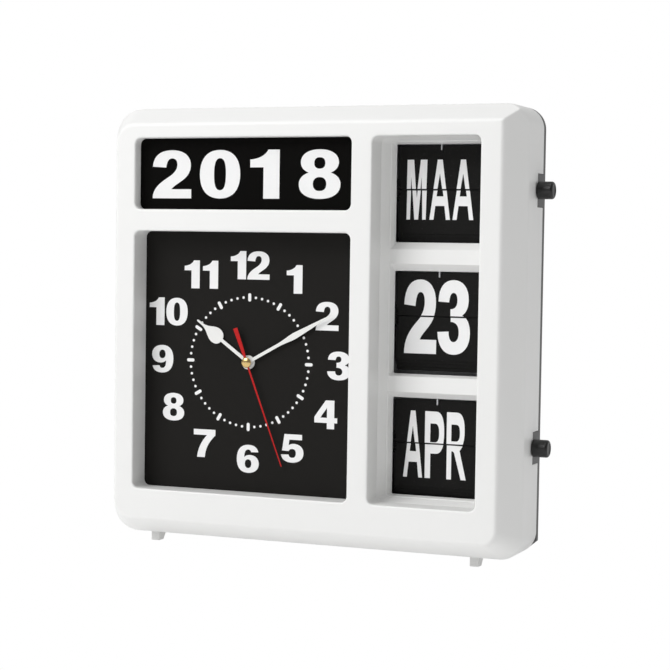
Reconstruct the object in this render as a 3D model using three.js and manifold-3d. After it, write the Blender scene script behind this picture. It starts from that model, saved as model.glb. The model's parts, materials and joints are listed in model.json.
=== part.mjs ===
// Flip calendar with an analogue clock, as separate solids.
// Millimetres, +Z up. The clock faces -Y, X runs to the right as the dial is read, Y runs to the back.
import * as THREE from 'three';
import { mergeVertices } from 'three/addons/utils/BufferGeometryUtils.js';
import Module from 'manifold-3d';

const wasm = await Module();
wasm.setup();

// ---- Driving dimensions. x starts at the housing's middle, y at its front face and z at its underside.
// GAP is left between pieces that touch. BURY is how far a joined shape reaches into what it stands on.
// PAST is how far a cutting shape reaches past the surface it cuts.
const WIDTH = 280;
const HEIGHT = 276.1;
const SHELL_DEPTH = 51.3;
const DEPTH = 56.8;
const WALL = 2.5;
const CORNER = 18;
const CHAMFER_IN = 10.8;
const CHAMFER_BACK = 20.2;
const FOOT_HEIGHT = 6.5;
const FOOT_X = [-112.2, 108.1];
const REAR_FOOT_X = [-124.5, 100];
const FOOT_WIDTH = 5.6;
const FRONT_FOOT = { front: 26, back: 38, toe: 32 };
const REAR_FOOT = { front: 53.6, back: 56.7, toe: 56.4 };
const GAP = 0.3;
const BURY = 0.5;
const PAST = 1;

// Openings in the front face: left, right, bottom, top and the depth of their side walls.
const YEAR_WINDOW = { left: -115.9, right: 33.0, bottom: 210.8, top: 256.1, depth: 8 };
const DIAL_WINDOW = { left: -115.9, right: 33.0, bottom: 31.0, top: 196.9, depth: 17 };
const FLIP_OPENING = { left: 46.6, right: 115.7, bottom: 31.0, top: 256.1, depth: 17 };
const WINDOW_RADIUS = 4;
const FRAME_WALL = 2.5;

// Flip recess: the bars' flat faces, the window edges, and the three windows between the bars.
const RIDGE_Y = 25;
const EDGE_Y = 30;
const RIDGE_X = [49.8, 112.5];
const EDGE_X = [52, 110];
const UNITS = [
  { name: 'weekday', split: 224.5, ridge: [187.4, 254.2], edge: [191.9, 252.5] },
  { name: 'date', split: 146.2, ridge: [108.8, 178.5], edge: [110.2, 174.1] },
  { name: 'month', split: 67.1, ridge: [33.4, 99.0], edge: [34.5, 95.3] },
];

// Flip units: leaves turn about a line at LEAF_Y, spools turn behind them.
const LEAF_X = 81;
const LEAF_WIDTH = 57;
const LEAF_HEIGHT = 27.4;
const LEAF_THICKNESS = 0.4;
const LEAF_Y = 31;
const BACK_LEAF_Y = 31.7;
const PACK_Y = 32.2;
const PACK_STEP = 0.6;
const SPOOL_Y = 39.2;
const SPOOL_RADIUS = 8.4;
const DISC_X = [50.9, 109.9];
const DISC_THICKNESS = 1.2;
const AXLE_RADIUS = 2;
const HOOK_WIDTH = 0.9;
const HOOK_REACH = 3.7;

// Calendar frame: two side plates, and a back plate with two straps that hold it to the housing.
// Each unit's leaf hook hangs from a bar between the side plates.
const FRAME_LEFT = 48.4;
const FRAME_RIGHT = 113.6;
const FRAME_SHEET = 1.5;
const FRAME_FRONT = 32;
const FRAME_BACK = 50;
const FRAME_Z = [36, 255.6];
const STRAP_Z = [100, 190];
const STRAP_X = [35.5, 131.9];
const STRAP_HALF = 5;
const FRAME_BOSS_X = [40, 127.5];
const BAR_Y = [33, 36];
const BAR_ABOVE_SPLIT = [28, 30.5];

// Dial, movement and hands.
const DIAL_CENTRE = { x: -41.8, z: 114.05 };
const DIAL_Y = 17.3;
const DIAL_SHEET = 1.5;
const CARD_Y = 8.3;
const CARD_SHEET = 1.2;
const MOVEMENT_SIDE = 56;
const MOVEMENT_Y = [19.1, 35];
const SET_WHEEL = { x: 10, z: 14, radius: 7 };
const TIME_SHOWN = { hour: 305.6, minute: 61, second: 159 };

// Knobs, on the weekday and month axles.
const KNOB_X = [140.4, 150.4];
const KNOB_RADIUS = 5.4;
const NOTCHES = [[214.2, 234.9], [56.6, 76.9]];
const NOTCH_Y = 39;
const KNOB_Z = [UNITS[0].split, UNITS[2].split];
const AXLE_CLEARANCE = 0.8;

// Belt drive between the date and weekday axles: pitch radii in the ratio of 31 to 14.
const PULLEY_X = [114.9, 119.1];
const WEEKDAY_PULLEY = 4.46;
const DATE_PULLEY = 9.87;
const BELT_THICKNESS = 1;

// The calendar's own cell and its tray, behind the battery door.
const TRAY = { z: 165, halfX: 29.5, halfZ: 15, wall: 1.5, front: 26, back: 53.8 };
const CELL_Y = 41;

// Back cover, and the battery door's opening in it.
const COVER_BOTTOM = 1.7;
const COVER_LOWER_CORNER = 7;
const DOOR = { left: -75, right: -9, bottom: 84, top: 186 };
const DOOR_THICKNESS = 2.2;
const HINGE_PIN = 0.6;
const COVER_SCREWS = [[-124, 16], [124, 16], [-124, 260], [124, 260]];
const COVER_SCREW = { shank: 1.25, head: 3.2, seat: 55.5, hole: 1.8, sink: 3.7 };
const COVER_BOSS = { radius: 4, end: 54, pilot: 1.6 };
const FRAME_SCREW = { shank: 1, head: 2.6, hole: 1.8 };
const FRAME_BOSS = { radius: 3.2, pilot: 1.3 };
const PILOT_FRONT = 36;
const KEYHOLES_X = [-60, 60];
const KEYHOLE_Z = 240;
const KEYHOLE = { entry: 4.5, slotHalf: 2.3, slotHeight: 11 };

// ---- Materials.
function finish(color, roughness, metalness = 0) {
  return new THREE.MeshStandardMaterial({ color, roughness, metalness });
}
const WHITE_PLASTIC = finish(0xf0f0ee, 0.3);
const BLACK_PLASTIC = finish(0x1d1d1c, 0.45);
const BLACK_CARD = finish(0x20201e, 0.6);
const LEAF_PLASTIC = finish(0x1a1a19, 0.5);
const HAND_WHITE = finish(0xf2f2ee, 0.4);
const HAND_RED = finish(0xb01010, 0.4);
const BRASS = finish(0xb9964a, 0.3, 1);
const STEEL = finish(0xb8bcc0, 0.35, 1);
const BELT_RUBBER = finish(0x151515, 0.8);
const CELL_WRAP = finish(0x3d5a80, 0.4);

// ---- Solids: joins and cuts, and the simple shapes in the clock's own directions.
function solid(geometry) {
  const bare = geometry.clone();
  bare.deleteAttribute('normal');
  bare.deleteAttribute('uv');
  const merged = mergeVertices(bare, 1e-4);
  const vertProperties = new Float32Array(merged.attributes.position.array);
  const triVerts = new Uint32Array(merged.index.array);
  return new wasm.Manifold(new wasm.Mesh({ numProp: 3, vertProperties, triVerts }));
}

function toGeometry(shape) {
  const mesh = shape.getMesh();
  const geometry = new THREE.BufferGeometry();
  geometry.setAttribute('position', new THREE.BufferAttribute(new Float32Array(mesh.vertProperties), 3));
  geometry.setIndex(new THREE.BufferAttribute(new Uint32Array(mesh.triVerts), 1));
  geometry.computeVertexNormals();
  return geometry;
}

function join(first, ...rest) {
  return rest.reduce((sum, next) => sum.add(next), first);
}

function cut(first, ...rest) {
  return rest.reduce((sum, next) => sum.subtract(next), first);
}

function box(x0, x1, y0, y1, z0, z1) {
  const geometry = new THREE.BoxGeometry(x1 - x0, y1 - y0, z1 - z0);
  geometry.translate((x0 + x1) / 2, (y0 + y1) / 2, (z0 + z1) / 2);
  return solid(geometry);
}

// A rounded rectangle in the x-z plane. radii are bottom-left, bottom-right, top-right, top-left.
function roundedShape(left, right, bottom, top, radii) {
  const [bl, br, tr, tl] = Array.isArray(radii) ? radii : [radii, radii, radii, radii];
  const shape = new THREE.Shape();
  shape.moveTo(left + bl, bottom);
  shape.lineTo(right - br, bottom);
  shape.absarc(right - br, bottom + br, br, -Math.PI / 2, 0);
  shape.lineTo(right, top - tr);
  shape.absarc(right - tr, top - tr, tr, 0, Math.PI / 2);
  shape.lineTo(left + tl, top);
  shape.absarc(left + tl, top - tl, tl, Math.PI / 2, Math.PI);
  shape.lineTo(left, bottom + bl);
  shape.absarc(left + bl, bottom + bl, bl, Math.PI, Math.PI * 1.5);
  return shape;
}

// A shape in the x-z plane, extruded from y0 back to y1.
function slab(shape, y0, y1, segments = 5) {
  const options = { depth: y1 - y0, bevelEnabled: false, curveSegments: segments };
  const geometry = new THREE.ExtrudeGeometry(shape, options);
  geometry.rotateX(Math.PI / 2);
  geometry.translate(0, y1, 0);
  return solid(geometry);
}

function plate(left, right, bottom, top, radii, y0, y1, segments) {
  return slab(roundedShape(left, right, bottom, top, radii), y0, y1, segments);
}

// A four-sided funnel from one rectangle at y0 to another at y1, each given as [left, right, bottom, top].
function funnel(near, far, y0, y1) {
  const geometry = new THREE.BoxGeometry(1, 1, 1);
  const position = geometry.attributes.position;
  for (let i = 0; i < position.count; i += 1) {
    const side = position.getY(i) < 0 ? near : far;
    position.setX(i, position.getX(i) < 0 ? side[0] : side[1]);
    position.setZ(i, position.getZ(i) < 0 ? side[2] : side[3]);
    position.setY(i, position.getY(i) < 0 ? y0 : y1);
  }
  return solid(geometry);
}

// A shape drawn with y as its first and z as its second coordinate, extruded from x0 to x1.
function sideSlab(shape, x0, x1, segments = 6) {
  const options = { depth: x1 - x0, bevelEnabled: false, curveSegments: segments };
  const geometry = new THREE.ExtrudeGeometry(shape, options);
  geometry.rotateZ(Math.PI / 2);
  geometry.rotateY(Math.PI / 2);
  geometry.translate(x0, 0, 0);
  return solid(geometry);
}

// A turned solid about the X axis at (y, z); profile is a list of [x, radius].
function turnedX(profile, y, z, segments = 16) {
  const points = profile.map(([x, radius]) => new THREE.Vector2(radius, x));
  const geometry = new THREE.LatheGeometry(points, segments);
  geometry.rotateZ(-Math.PI / 2);
  geometry.translate(0, y, z);
  return solid(geometry);
}

// A turned solid about the Y axis at (x, z); profile is a list of [y, radius].
function turnedY(profile, x, z, segments = 20) {
  const points = profile.map(([y, radius]) => new THREE.Vector2(radius, y));
  const geometry = new THREE.LatheGeometry(points, segments);
  geometry.translate(x, 0, z);
  return solid(geometry);
}

function rodX(radius, x0, x1, y, z, segments) {
  return turnedX([[x0, 0], [x0, radius], [x1, radius], [x1, 0]], y, z, segments);
}

function rodY(radius, y0, y1, x, z, segments) {
  return turnedY([[y0, 0], [y0, radius], [y1, radius], [y1, 0]], x, z, segments);
}

// ---- The clock, and the way a piece joins it.
const clock = new THREE.Group();
clock.position.set(-(KNOB_X[1] - WIDTH / 2) / 2, -DEPTH / 2, FOOT_HEIGHT);

function addPart(name, material, shape) {
  const mesh = new THREE.Mesh(toGeometry(shape), material);
  mesh.name = name;
  clock.add(mesh);
  return mesh;
}

// The outside of the housing, smaller by inset all round. Its front edge is chamfered on four sides, with mitres.
function housingBody(inset, y0) {
  const rect = (step) => [-WIDTH / 2 + step, WIDTH / 2 - step, step, HEIGHT - step];
  const slope = CHAMFER_IN / CHAMFER_BACK;
  const near = rect(inset + CHAMFER_IN + PAST * slope);
  const far = rect(inset - PAST * slope);
  const chamferBack = y0 + CHAMFER_BACK;
  const around = box(-WIDTH, WIDTH, y0 - PAST / 2, chamferBack, -HEIGHT, 2 * HEIGHT);
  const body = plate(...rect(inset), CORNER - inset, y0, 2 * SHELL_DEPTH, 5);
  return cut(body, cut(around, funnel(near, far, y0 - PAST, chamferBack + PAST)));
}

function openingSolid(opening, grow, y0, y1) {
  const radius = WINDOW_RADIUS + grow;
  const { left, right, bottom, top } = opening;
  return plate(left - grow, right + grow, bottom - grow, top + grow, radius, y0, y1, 3);
}

// A foot seen from the side: straight down at its front, tapering from its back to its toe.
function footShape({ front, back, toe }, top) {
  const shape = new THREE.Shape();
  shape.moveTo(front, top);
  shape.lineTo(front + 0.4, -FOOT_HEIGHT);
  shape.lineTo(toe, -FOOT_HEIGHT);
  shape.lineTo(back, top);
  shape.closePath();
  return shape;
}

function makeHousing() {
  let shell = housingBody(0, 0);
  shell = cut(shell, box(-WIDTH, WIDTH, SHELL_DEPTH, 4 * DEPTH, -DEPTH, HEIGHT + DEPTH));
  shell = cut(shell, housingBody(WALL, WALL));
  const openings = [YEAR_WINDOW, DIAL_WINDOW, FLIP_OPENING];
  for (const opening of openings) {
    shell = join(shell, openingSolid(opening, FRAME_WALL, WALL - BURY, opening.depth));
  }
  for (const opening of openings) {
    shell = cut(shell, openingSolid(opening, 0, -PAST, opening.depth + PAST));
  }
  for (const [x, z] of COVER_SCREWS) {
    shell = join(shell, rodY(COVER_BOSS.radius, WALL - BURY, COVER_BOSS.end, x, z, 8));
    shell = cut(shell, rodY(COVER_BOSS.pilot, PILOT_FRONT, COVER_BOSS.end + PAST, x, z, 6));
  }
  const strapFront = FRAME_BACK - FRAME_SHEET;
  for (const x of FRAME_BOSS_X) {
    for (const z of STRAP_Z) {
      shell = join(shell, rodY(FRAME_BOSS.radius, WALL - BURY, strapFront - GAP, x, z, 8));
      shell = cut(shell, rodY(FRAME_BOSS.pilot, PILOT_FRONT, FRAME_BACK, x, z, 6));
    }
  }
  for (const x of FOOT_X) {
    const foot = footShape(FRONT_FOOT, PAST);
    shell = join(shell, sideSlab(foot, x - FOOT_WIDTH / 2, x + FOOT_WIDTH / 2));
  }
  const wall = [WIDTH / 2 - 2 * WALL - PAST, WIDTH / 2 + PAST];
  NOTCHES.forEach(([bottom, top], i) => {
    shell = cut(shell, box(...wall, NOTCH_Y, SHELL_DEPTH + PAST, bottom, top));
    shell = cut(shell, rodX(AXLE_RADIUS + AXLE_CLEARANCE, ...wall, SPOOL_Y, KNOB_Z[i], 16));
  });
  addPart('front_housing', WHITE_PLASTIC, shell);
}

// The insert that frames the three flip windows: a funnel down to the bars, then a funnel into each window.
function makeBezel() {
  const { left, right, bottom, top } = FLIP_OPENING;
  const flange = 2.6;
  const taper = 1.4;
  const near = [left - flange, right + flange, bottom - flange, top + flange];
  const far = [left + taper, right - 1.7, bottom + taper, top - taper];
  let bezel = funnel(near, far, DIAL_Y, EDGE_Y);
  const ridgeZ = [UNITS[2].ridge[0], UNITS[0].ridge[1]];
  const mouth = [left, right, bottom, top];
  bezel = cut(bezel, funnel(mouth, [...RIDGE_X, ...ridgeZ], DIAL_Y - 0.01, RIDGE_Y));
  for (const unit of UNITS) {
    const ridge = [...RIDGE_X, ...unit.ridge];
    const edge = [...EDGE_X, ...unit.edge];
    bezel = cut(bezel, funnel(ridge, edge, RIDGE_Y - 0.01, EDGE_Y + 0.01));
  }
  addPart('flip_bezel', WHITE_PLASTIC, bezel);
}

function coverOutline(inset) {
  const top = CORNER - inset;
  const bottom = COVER_LOWER_CORNER - inset;
  const sides = [-WIDTH / 2 + inset, WIDTH / 2 - inset, COVER_BOTTOM + inset, HEIGHT - inset];
  return [...sides, [bottom, bottom, top, top]];
}

function makeBackCover() {
  const rimFront = SHELL_DEPTH + GAP;
  const panelFront = DEPTH - WALL;
  const through = [panelFront - PAST, DEPTH + PAST];
  let cover = plate(...coverOutline(0), rimFront, DEPTH, 6);
  cover = cut(cover, plate(...coverOutline(WALL), rimFront - PAST, panelFront, 6));
  const wall = [WIDTH / 2 - WALL + GAP, WIDTH / 2];
  NOTCHES.forEach(([bottom, top], i) => {
    let tab = box(...wall, NOTCH_Y + GAP, panelFront + BURY, bottom + GAP, top - GAP);
    const bore = rodX(AXLE_RADIUS + AXLE_CLEARANCE, wall[0] - PAST, wall[1] + PAST, SPOOL_Y, KNOB_Z[i], 16);
    tab = cut(tab, bore);
    cover = join(cover, tab);
  });
  for (const x of REAR_FOOT_X) {
    const foot = footShape(REAR_FOOT, COVER_BOTTOM + PAST);
    cover = join(cover, sideSlab(foot, x - FOOT_WIDTH / 2, x + FOOT_WIDTH / 2));
  }
  cover = cut(cover, box(DOOR.left, DOOR.right, ...through, DOOR.bottom, DOOR.top));
  const hingeY = DEPTH - DOOR_THICKNESS / 2;
  const hingeZ = DOOR.bottom + GAP + DOOR_THICKNESS / 2;
  const pinReach = 2.6;
  const pinHole = HINGE_PIN + GAP;
  cover = cut(cover, rodX(pinHole, DOOR.left - pinReach, DOOR.right + pinReach, hingeY, hingeZ, 8));
  for (const [x, z] of COVER_SCREWS) {
    cover = cut(cover, rodY(COVER_SCREW.hole, ...through, x, z, 12));
    cover = cut(cover, rodY(COVER_SCREW.sink, COVER_SCREW.seat - GAP, DEPTH + PAST, x, z, 12));
  }
  const { entry, slotHalf, slotHeight } = KEYHOLE;
  for (const x of KEYHOLES_X) {
    cover = cut(cover, rodY(entry, ...through, x, KEYHOLE_Z, 16));
    cover = cut(cover, box(x - slotHalf, x + slotHalf, ...through, KEYHOLE_Z, KEYHOLE_Z + slotHeight));
  }
  addPart('back_cover', BLACK_PLASTIC, cover);
}

function makeBatteryDoor() {
  const left = DOOR.left + GAP;
  const right = DOOR.right - GAP;
  const hingeZ = DOOR.bottom + GAP + DOOR_THICKNESS / 2;
  const hingeY = DEPTH - DOOR_THICKNESS / 2;
  const pinLength = 2;
  const door = join(
    box(left, right, DEPTH - DOOR_THICKNESS, DEPTH, hingeZ, DOOR.top - GAP - 0.1),
    rodX(DOOR_THICKNESS / 2, left, right, hingeY, hingeZ, 16),
    rodX(HINGE_PIN, left - pinLength, right + pinLength, hingeY, hingeZ, 8),
  );
  addPart('battery_door', BLACK_PLASTIC, door);
}

// A screw along Y: a pointed shank from tip to seat, and a low head behind the seat.
function screw({ shank, head }, tip, seat, x, z) {
  const crown = seat + 0.9;
  return turnedY([
    [tip, 0],
    [tip + 0.8, shank],
    [seat, shank],
    [seat, head],
    [crown, head],
    [crown + 0.2, 0.75 * head],
    [crown + 0.2, 0],
  ], x, z, 12);
}

function makeCoverScrews() {
  COVER_SCREWS.forEach(([x, z], i) => {
    addPart(`cover_screw_${i + 1}`, STEEL, screw(COVER_SCREW, 38, COVER_SCREW.seat, x, z));
  });
}

function makeDial() {
  const dial = DIAL_WINDOW;
  const lap = 3.2;
  const dialBack = DIAL_Y + DIAL_SHEET;
  const edges = [dial.left - lap, dial.right + lap, dial.bottom - lap, dial.top + lap];
  let sheet = plate(...edges, 3, DIAL_Y, dialBack, 3);
  sheet = cut(sheet, rodY(4.2, DIAL_Y - PAST, dialBack + PAST, DIAL_CENTRE.x, DIAL_CENTRE.z));
  const half = MOVEMENT_SIDE / 2 + GAP;
  const hookThickness = 2;
  const hookBack = MOVEMENT_Y[1] + 2;
  const hookZ = [DIAL_CENTRE.z - 6, DIAL_CENTRE.z + 6];
  for (const side of [-1, 1]) {
    const near = DIAL_CENTRE.x + side * half;
    const far = near + side * hookThickness;
    const lip = near - side * 1.5;
    const arm = [Math.min(near, far), Math.max(near, far)];
    const beak = [Math.min(lip, far), Math.max(lip, far)];
    sheet = join(sheet, box(...arm, dialBack - BURY, hookBack, ...hookZ));
    sheet = join(sheet, box(...beak, MOVEMENT_Y[1] + GAP, hookBack, ...hookZ));
  }
  addPart('dial_plate', BLACK_CARD, sheet);
}

function makeYearCard() {
  const { left, right, bottom, top } = YEAR_WINDOW;
  const edges = [left - 3.2, right + 3.2, bottom - 3, top + 2.4];
  addPart('year_card', BLACK_CARD, plate(...edges, 1.5, CARD_Y, CARD_Y + CARD_SHEET, 2));
}

function makeMovement() {
  const { x, z } = DIAL_CENTRE;
  const half = MOVEMENT_SIDE / 2;
  const wall = 2;
  const [front, back] = MOVEMENT_Y;
  const cellZ = z - half + 9.8;
  const cellRadius = 7.1;
  const bay = [cellZ - cellRadius - BURY, cellZ + cellRadius + BURY];
  const floor = front + 1.5;
  const wheelX = x + SET_WHEEL.x;
  const wheelZ = z + SET_WHEEL.z;
  const bushing = { inner: 3.2, outer: 3.9, front: 16.9, back: front + 2.7 };
  const arbor = 1.5;
  let body = plate(x - half, x + half, z - half, z + half, 3, front, back, 3);
  body = cut(body, box(x - half + wall, x + half - wall, floor, back + PAST, ...bay));
  body = cut(body, rodY(bushing.outer + GAP, front - PAST, front + 3, x, z, 16));
  body = cut(body, rodY(bushing.inner, front - PAST, front + 6.5, x, z, 16));
  body = cut(body, rodY(arbor + GAP, back - 5, back + PAST, wheelX, wheelZ, 12));
  addPart('movement_case', BLACK_PLASTIC, body);
  const tube = [
    [bushing.front, bushing.inner],
    [bushing.front, bushing.outer],
    [bushing.back, bushing.outer],
    [bushing.back, bushing.inner],
    [bushing.front, bushing.inner],
  ];
  addPart('movement_bushing', BRASS, turnedY(tube, x, z));
  const cellY = floor + cellRadius + GAP;
  const cell = [[-24.8, 0], [-24.8, cellRadius], [23.6, cellRadius], [23.8, 2.6], [24.8, 2.6], [24.8, 0]];
  addPart('aa_cell', CELL_WRAP, turnedX(cell, cellY, cellZ, 16).translate([x, 0, 0]));
  const contactSpan = [cellY - 4, cellY + 4, cellZ - 5, cellZ + 5];
  const contactSheet = 0.4;
  const springX = x - half + wall + GAP;
  addPart('aa_spring_contact', STEEL, box(springX, springX + contactSheet, ...contactSpan));
  const plateX = x + half - wall - GAP;
  addPart('aa_plate_contact', STEEL, box(plateX - contactSheet, plateX, ...contactSpan));
  const wheelFront = back + 0.4;
  const wheelBack = back + 3.4;
  const wheel = [
    [back - 4, 0],
    [back - 4, arbor],
    [wheelFront, arbor],
    [wheelFront, SET_WHEEL.radius],
    [wheelBack, SET_WHEEL.radius],
    [wheelBack, 0],
  ];
  addPart('time_set_wheel', BLACK_PLASTIC, turnedY(wheel, wheelX, wheelZ));
}

// ---- Hands. Each is drawn pointing up from the dial's centre, then turned clockwise to its place.
function handBody(outline, thickness, y, angle) {
  const shape = slab(outline, y, y + thickness, 5);
  return shape.rotate([0, angle, 0]);
}

function hourOutline() {
  const shape = new THREE.Shape();
  shape.moveTo(-1.1, 0);
  shape.lineTo(1.1, 0);
  shape.lineTo(1.1, 24);
  shape.quadraticCurveTo(5.4, 25.5, 5, 30);
  shape.quadraticCurveTo(4.2, 35, 0, 45);
  shape.quadraticCurveTo(-4.2, 35, -5, 30);
  shape.quadraticCurveTo(-5.4, 25.5, -1.1, 24);
  shape.closePath();
  return shape;
}

function minuteOutline() {
  const shape = new THREE.Shape();
  shape.moveTo(-1, 0);
  shape.lineTo(1, 0);
  shape.lineTo(1, 30);
  shape.lineTo(2, 37);
  shape.lineTo(0.25, 65);
  shape.lineTo(-0.25, 65);
  shape.lineTo(-2, 37);
  shape.lineTo(-1, 30);
  shape.closePath();
  return shape;
}

function secondOutline() {
  const shape = new THREE.Shape();
  shape.moveTo(-1.5, -23.2);
  shape.lineTo(1.5, -23.2);
  shape.lineTo(1.1, -8);
  shape.lineTo(0.6, 0);
  shape.lineTo(0.25, 69.7);
  shape.lineTo(-0.25, 69.7);
  shape.lineTo(-0.6, 0);
  shape.lineTo(-1.1, -8);
  shape.closePath();
  return shape;
}

// A tube about the Y axis.
function sleeve(y0, y1, outer, inner) {
  return turnedY([[y0, inner], [y0, outer], [y1, outer], [y1, inner], [y0, inner]], 0, 0, 16);
}

function makeHands() {
  const { x, z } = DIAL_CENTRE;
  const bore = { hour: 2.3, minute: 1.2 };
  let hour = handBody(hourOutline(), 0.4, 15.9, TIME_SHOWN.hour);
  hour = join(hour, rodY(4.5, 15.8, 16.6, 0, 0, 24));
  hour = cut(hour, rodY(bore.hour, 10, 20, 0, 0, 16));
  hour = join(hour, sleeve(16, 22, 2.9, bore.hour));
  addPart('hour_hand', HAND_WHITE, hour.translate([x, 0, z]));
  let minute = handBody(minuteOutline(), 0.4, 14.7, TIME_SHOWN.minute);
  minute = join(minute, rodY(3.4, 14.6, 15.3, 0, 0, 20));
  minute = cut(minute, rodY(bore.minute, 10, 20, 0, 0, 12));
  minute = join(minute, sleeve(14.8, 23, 2, bore.minute));
  addPart('minute_hand', HAND_WHITE, minute.translate([x, 0, z]));
  const second = join(
    handBody(secondOutline(), 0.3, 13.6, TIME_SHOWN.second),
    rodY(1.9, 13.5, 14.1, 0, 0, 16),
    rodY(0.9, 13.6, 24, 0, 0, 12),
  );
  addPart('second_hand', HAND_RED, second.translate([x, 0, z]));
  const cap = turnedY([[11.9, 0], [12.1, 1.8], [12.7, 3.3], [13.2, 3.3], [13.2, 0]], 0, 0, 20);
  addPart('centre_cap', BRASS, cap.translate([x, 0, z]));
}

function makeFrame() {
  const [low, high] = FRAME_Z;
  const backFront = FRAME_BACK - FRAME_SHEET;
  let backPlate = box(FRAME_LEFT, FRAME_RIGHT, backFront, FRAME_BACK, low, high);
  for (const z of STRAP_Z) {
    backPlate = join(backPlate, box(...STRAP_X, backFront, FRAME_BACK, z - STRAP_HALF, z + STRAP_HALF));
    for (const x of FRAME_BOSS_X) {
      backPlate = cut(backPlate, rodY(FRAME_SCREW.hole, backFront - PAST, FRAME_BACK + PAST, x, z, 12));
    }
  }
  addPart('frame_back_plate', STEEL, backPlate);
  const sides = { frame_left_plate: FRAME_LEFT, frame_right_plate: FRAME_RIGHT - FRAME_SHEET };
  for (const [name, x] of Object.entries(sides)) {
    let side = box(x, x + FRAME_SHEET, FRAME_FRONT, backFront - GAP, low, high);
    for (const { split } of UNITS) {
      side = cut(side, rodX(AXLE_RADIUS + GAP, x - PAST, x + FRAME_SHEET + PAST, SPOOL_Y, split, 16));
    }
    addPart(name, STEEL, side);
  }
  FRAME_BOSS_X.forEach((x, i) => {
    STRAP_Z.forEach((z, j) => {
      addPart(`frame_screw_${i * 2 + j + 1}`, STEEL, screw(FRAME_SCREW, 40, FRAME_BACK + 0.2, x, z));
    });
  });
}

// The notch in a leaf's top edge that clears the hook.
function hookNotch(top, y0, y1) {
  return box(LEAF_X - 1, LEAF_X + 1, y0 - PAST, y1 + PAST, top - HOOK_REACH, top + PAST);
}

function leafPlate(bottom, top, y, notched) {
  const half = LEAF_WIDTH / 2;
  const y0 = y - LEAF_THICKNESS / 2;
  const y1 = y + LEAF_THICKNESS / 2;
  const leaf = plate(LEAF_X - half, LEAF_X + half, bottom, top, 1, y0, y1, 2);
  return notched ? cut(leaf, hookNotch(top, y0, y1)) : leaf;
}

// A stack of leaves as one block.
function leafBlock(bottom, top, y0, y1, notched) {
  const half = LEAF_WIDTH / 2;
  const block = box(LEAF_X - half, LEAF_X + half, y0, y1, bottom, top);
  return notched ? cut(block, hookNotch(top, y0, y1)) : block;
}

// A spool: an axle along X with a disc near each end of the leaves.
function makeSpool(name, split, ends) {
  const steps = [[ends[0], AXLE_RADIUS]];
  for (const disc of DISC_X) {
    steps.push([disc, AXLE_RADIUS], [disc, SPOOL_RADIUS]);
    steps.push([disc + DISC_THICKNESS, SPOOL_RADIUS], [disc + DISC_THICKNESS, AXLE_RADIUS]);
  }
  steps.push([ends[1], AXLE_RADIUS]);
  const profile = [[ends[0], 0], ...steps, [ends[1], 0]];
  addPart(`${name}_spool`, BLACK_PLASTIC, turnedX(profile, SPOOL_Y, split, 14));
}

function makeFlipUnit({ name, split }) {
  const top = split + LEAF_HEIGHT;
  const knobAxle = [47.2, KNOB_X[1] - 4];
  const beltAxle = [43, PULLEY_X[1] + 0.6];
  makeSpool(name, split, name === 'date' ? beltAxle : knobAxle);
  addPart(`${name}_upper_leaf`, LEAF_PLASTIC, leafPlate(split + 0.15, top, LEAF_Y, true));
  addPart(`${name}_next_leaf`, LEAF_PLASTIC, leafPlate(split + 0.2, top, BACK_LEAF_Y, true));
  const lower = leafPlate(split - LEAF_HEIGHT, split - 0.2, BACK_LEAF_Y, false);
  addPart(`${name}_lower_leaf`, LEAF_PLASTIC, lower);
  const fallenZ = [split - 29.3, split - 2];
  const waitingZ = [split + 2, split + 27];
  const drop = 2.2;
  let fallen = leafBlock(...fallenZ, PACK_Y, PACK_Y + PACK_STEP, false);
  let waiting = leafBlock(...waitingZ, PACK_Y, PACK_Y + PACK_STEP, true);
  for (const step of [1, 2]) {
    const y0 = PACK_Y + step * PACK_STEP - 0.01;
    const y1 = y0 + PACK_STEP;
    const fall = step * drop;
    fallen = join(fallen, leafBlock(fallenZ[0] - fall, fallenZ[1] - fall, y0, y1, false));
    waiting = join(waiting, leafBlock(waitingZ[0] + step, waitingZ[1] - 0.8 * step, y0, y1, true));
  }
  addPart(`${name}_fallen_leaves`, LEAF_PLASTIC, fallen);
  addPart(`${name}_waiting_leaves`, LEAF_PLASTIC, waiting);
  addPart(`${name}_rear_leaves`, LEAF_PLASTIC, leafBlock(split - 26, split + 9, 44.6, 47.4, false));
  const hookY = EDGE_Y + 0.15;
  const hookX = [LEAF_X - HOOK_WIDTH / 2, LEAF_X + HOOK_WIDTH / 2];
  const hookTop = split + 29.2;
  const barX = [FRAME_LEFT + FRAME_SHEET + GAP, FRAME_RIGHT - FRAME_SHEET - GAP];
  const [barLow, barHigh] = BAR_ABOVE_SPLIT;
  const hook = join(
    box(...hookX, hookY, hookY + 0.5, top + 0.6 - HOOK_REACH, hookTop),
    box(...hookX, hookY, BAR_Y[0] + BURY, hookTop - 0.6, hookTop),
    box(...barX, ...BAR_Y, split + barLow, split + barHigh),
  );
  addPart(`${name}_leaf_hook`, STEEL, hook);
}

function makeKnob(name, z) {
  const [near, far] = KNOB_X;
  const profile = [
    [far - 3.7, 0],
    [far - 3.7, AXLE_RADIUS + GAP],
    [near, AXLE_RADIUS + GAP],
    [near, KNOB_RADIUS],
    [far - 1.2, KNOB_RADIUS],
    [far - 0.3, KNOB_RADIUS - 0.6],
    [far, KNOB_RADIUS - 1.5],
    [far - 0.5, KNOB_RADIUS - 2.4],
    [far - 0.5, 0],
  ];
  addPart(name, BLACK_PLASTIC, turnedX(profile, SPOOL_Y, z, 20));
}

function makePulley(name, z, radius) {
  const [near, far] = PULLEY_X;
  const bore = AXLE_RADIUS + GAP;
  const pulley = [[near, bore], [near, radius], [far, radius], [far, bore], [near, bore]];
  addPart(name, WHITE_PLASTIC, turnedX(pulley, SPOOL_Y, z, 20));
}

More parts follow.
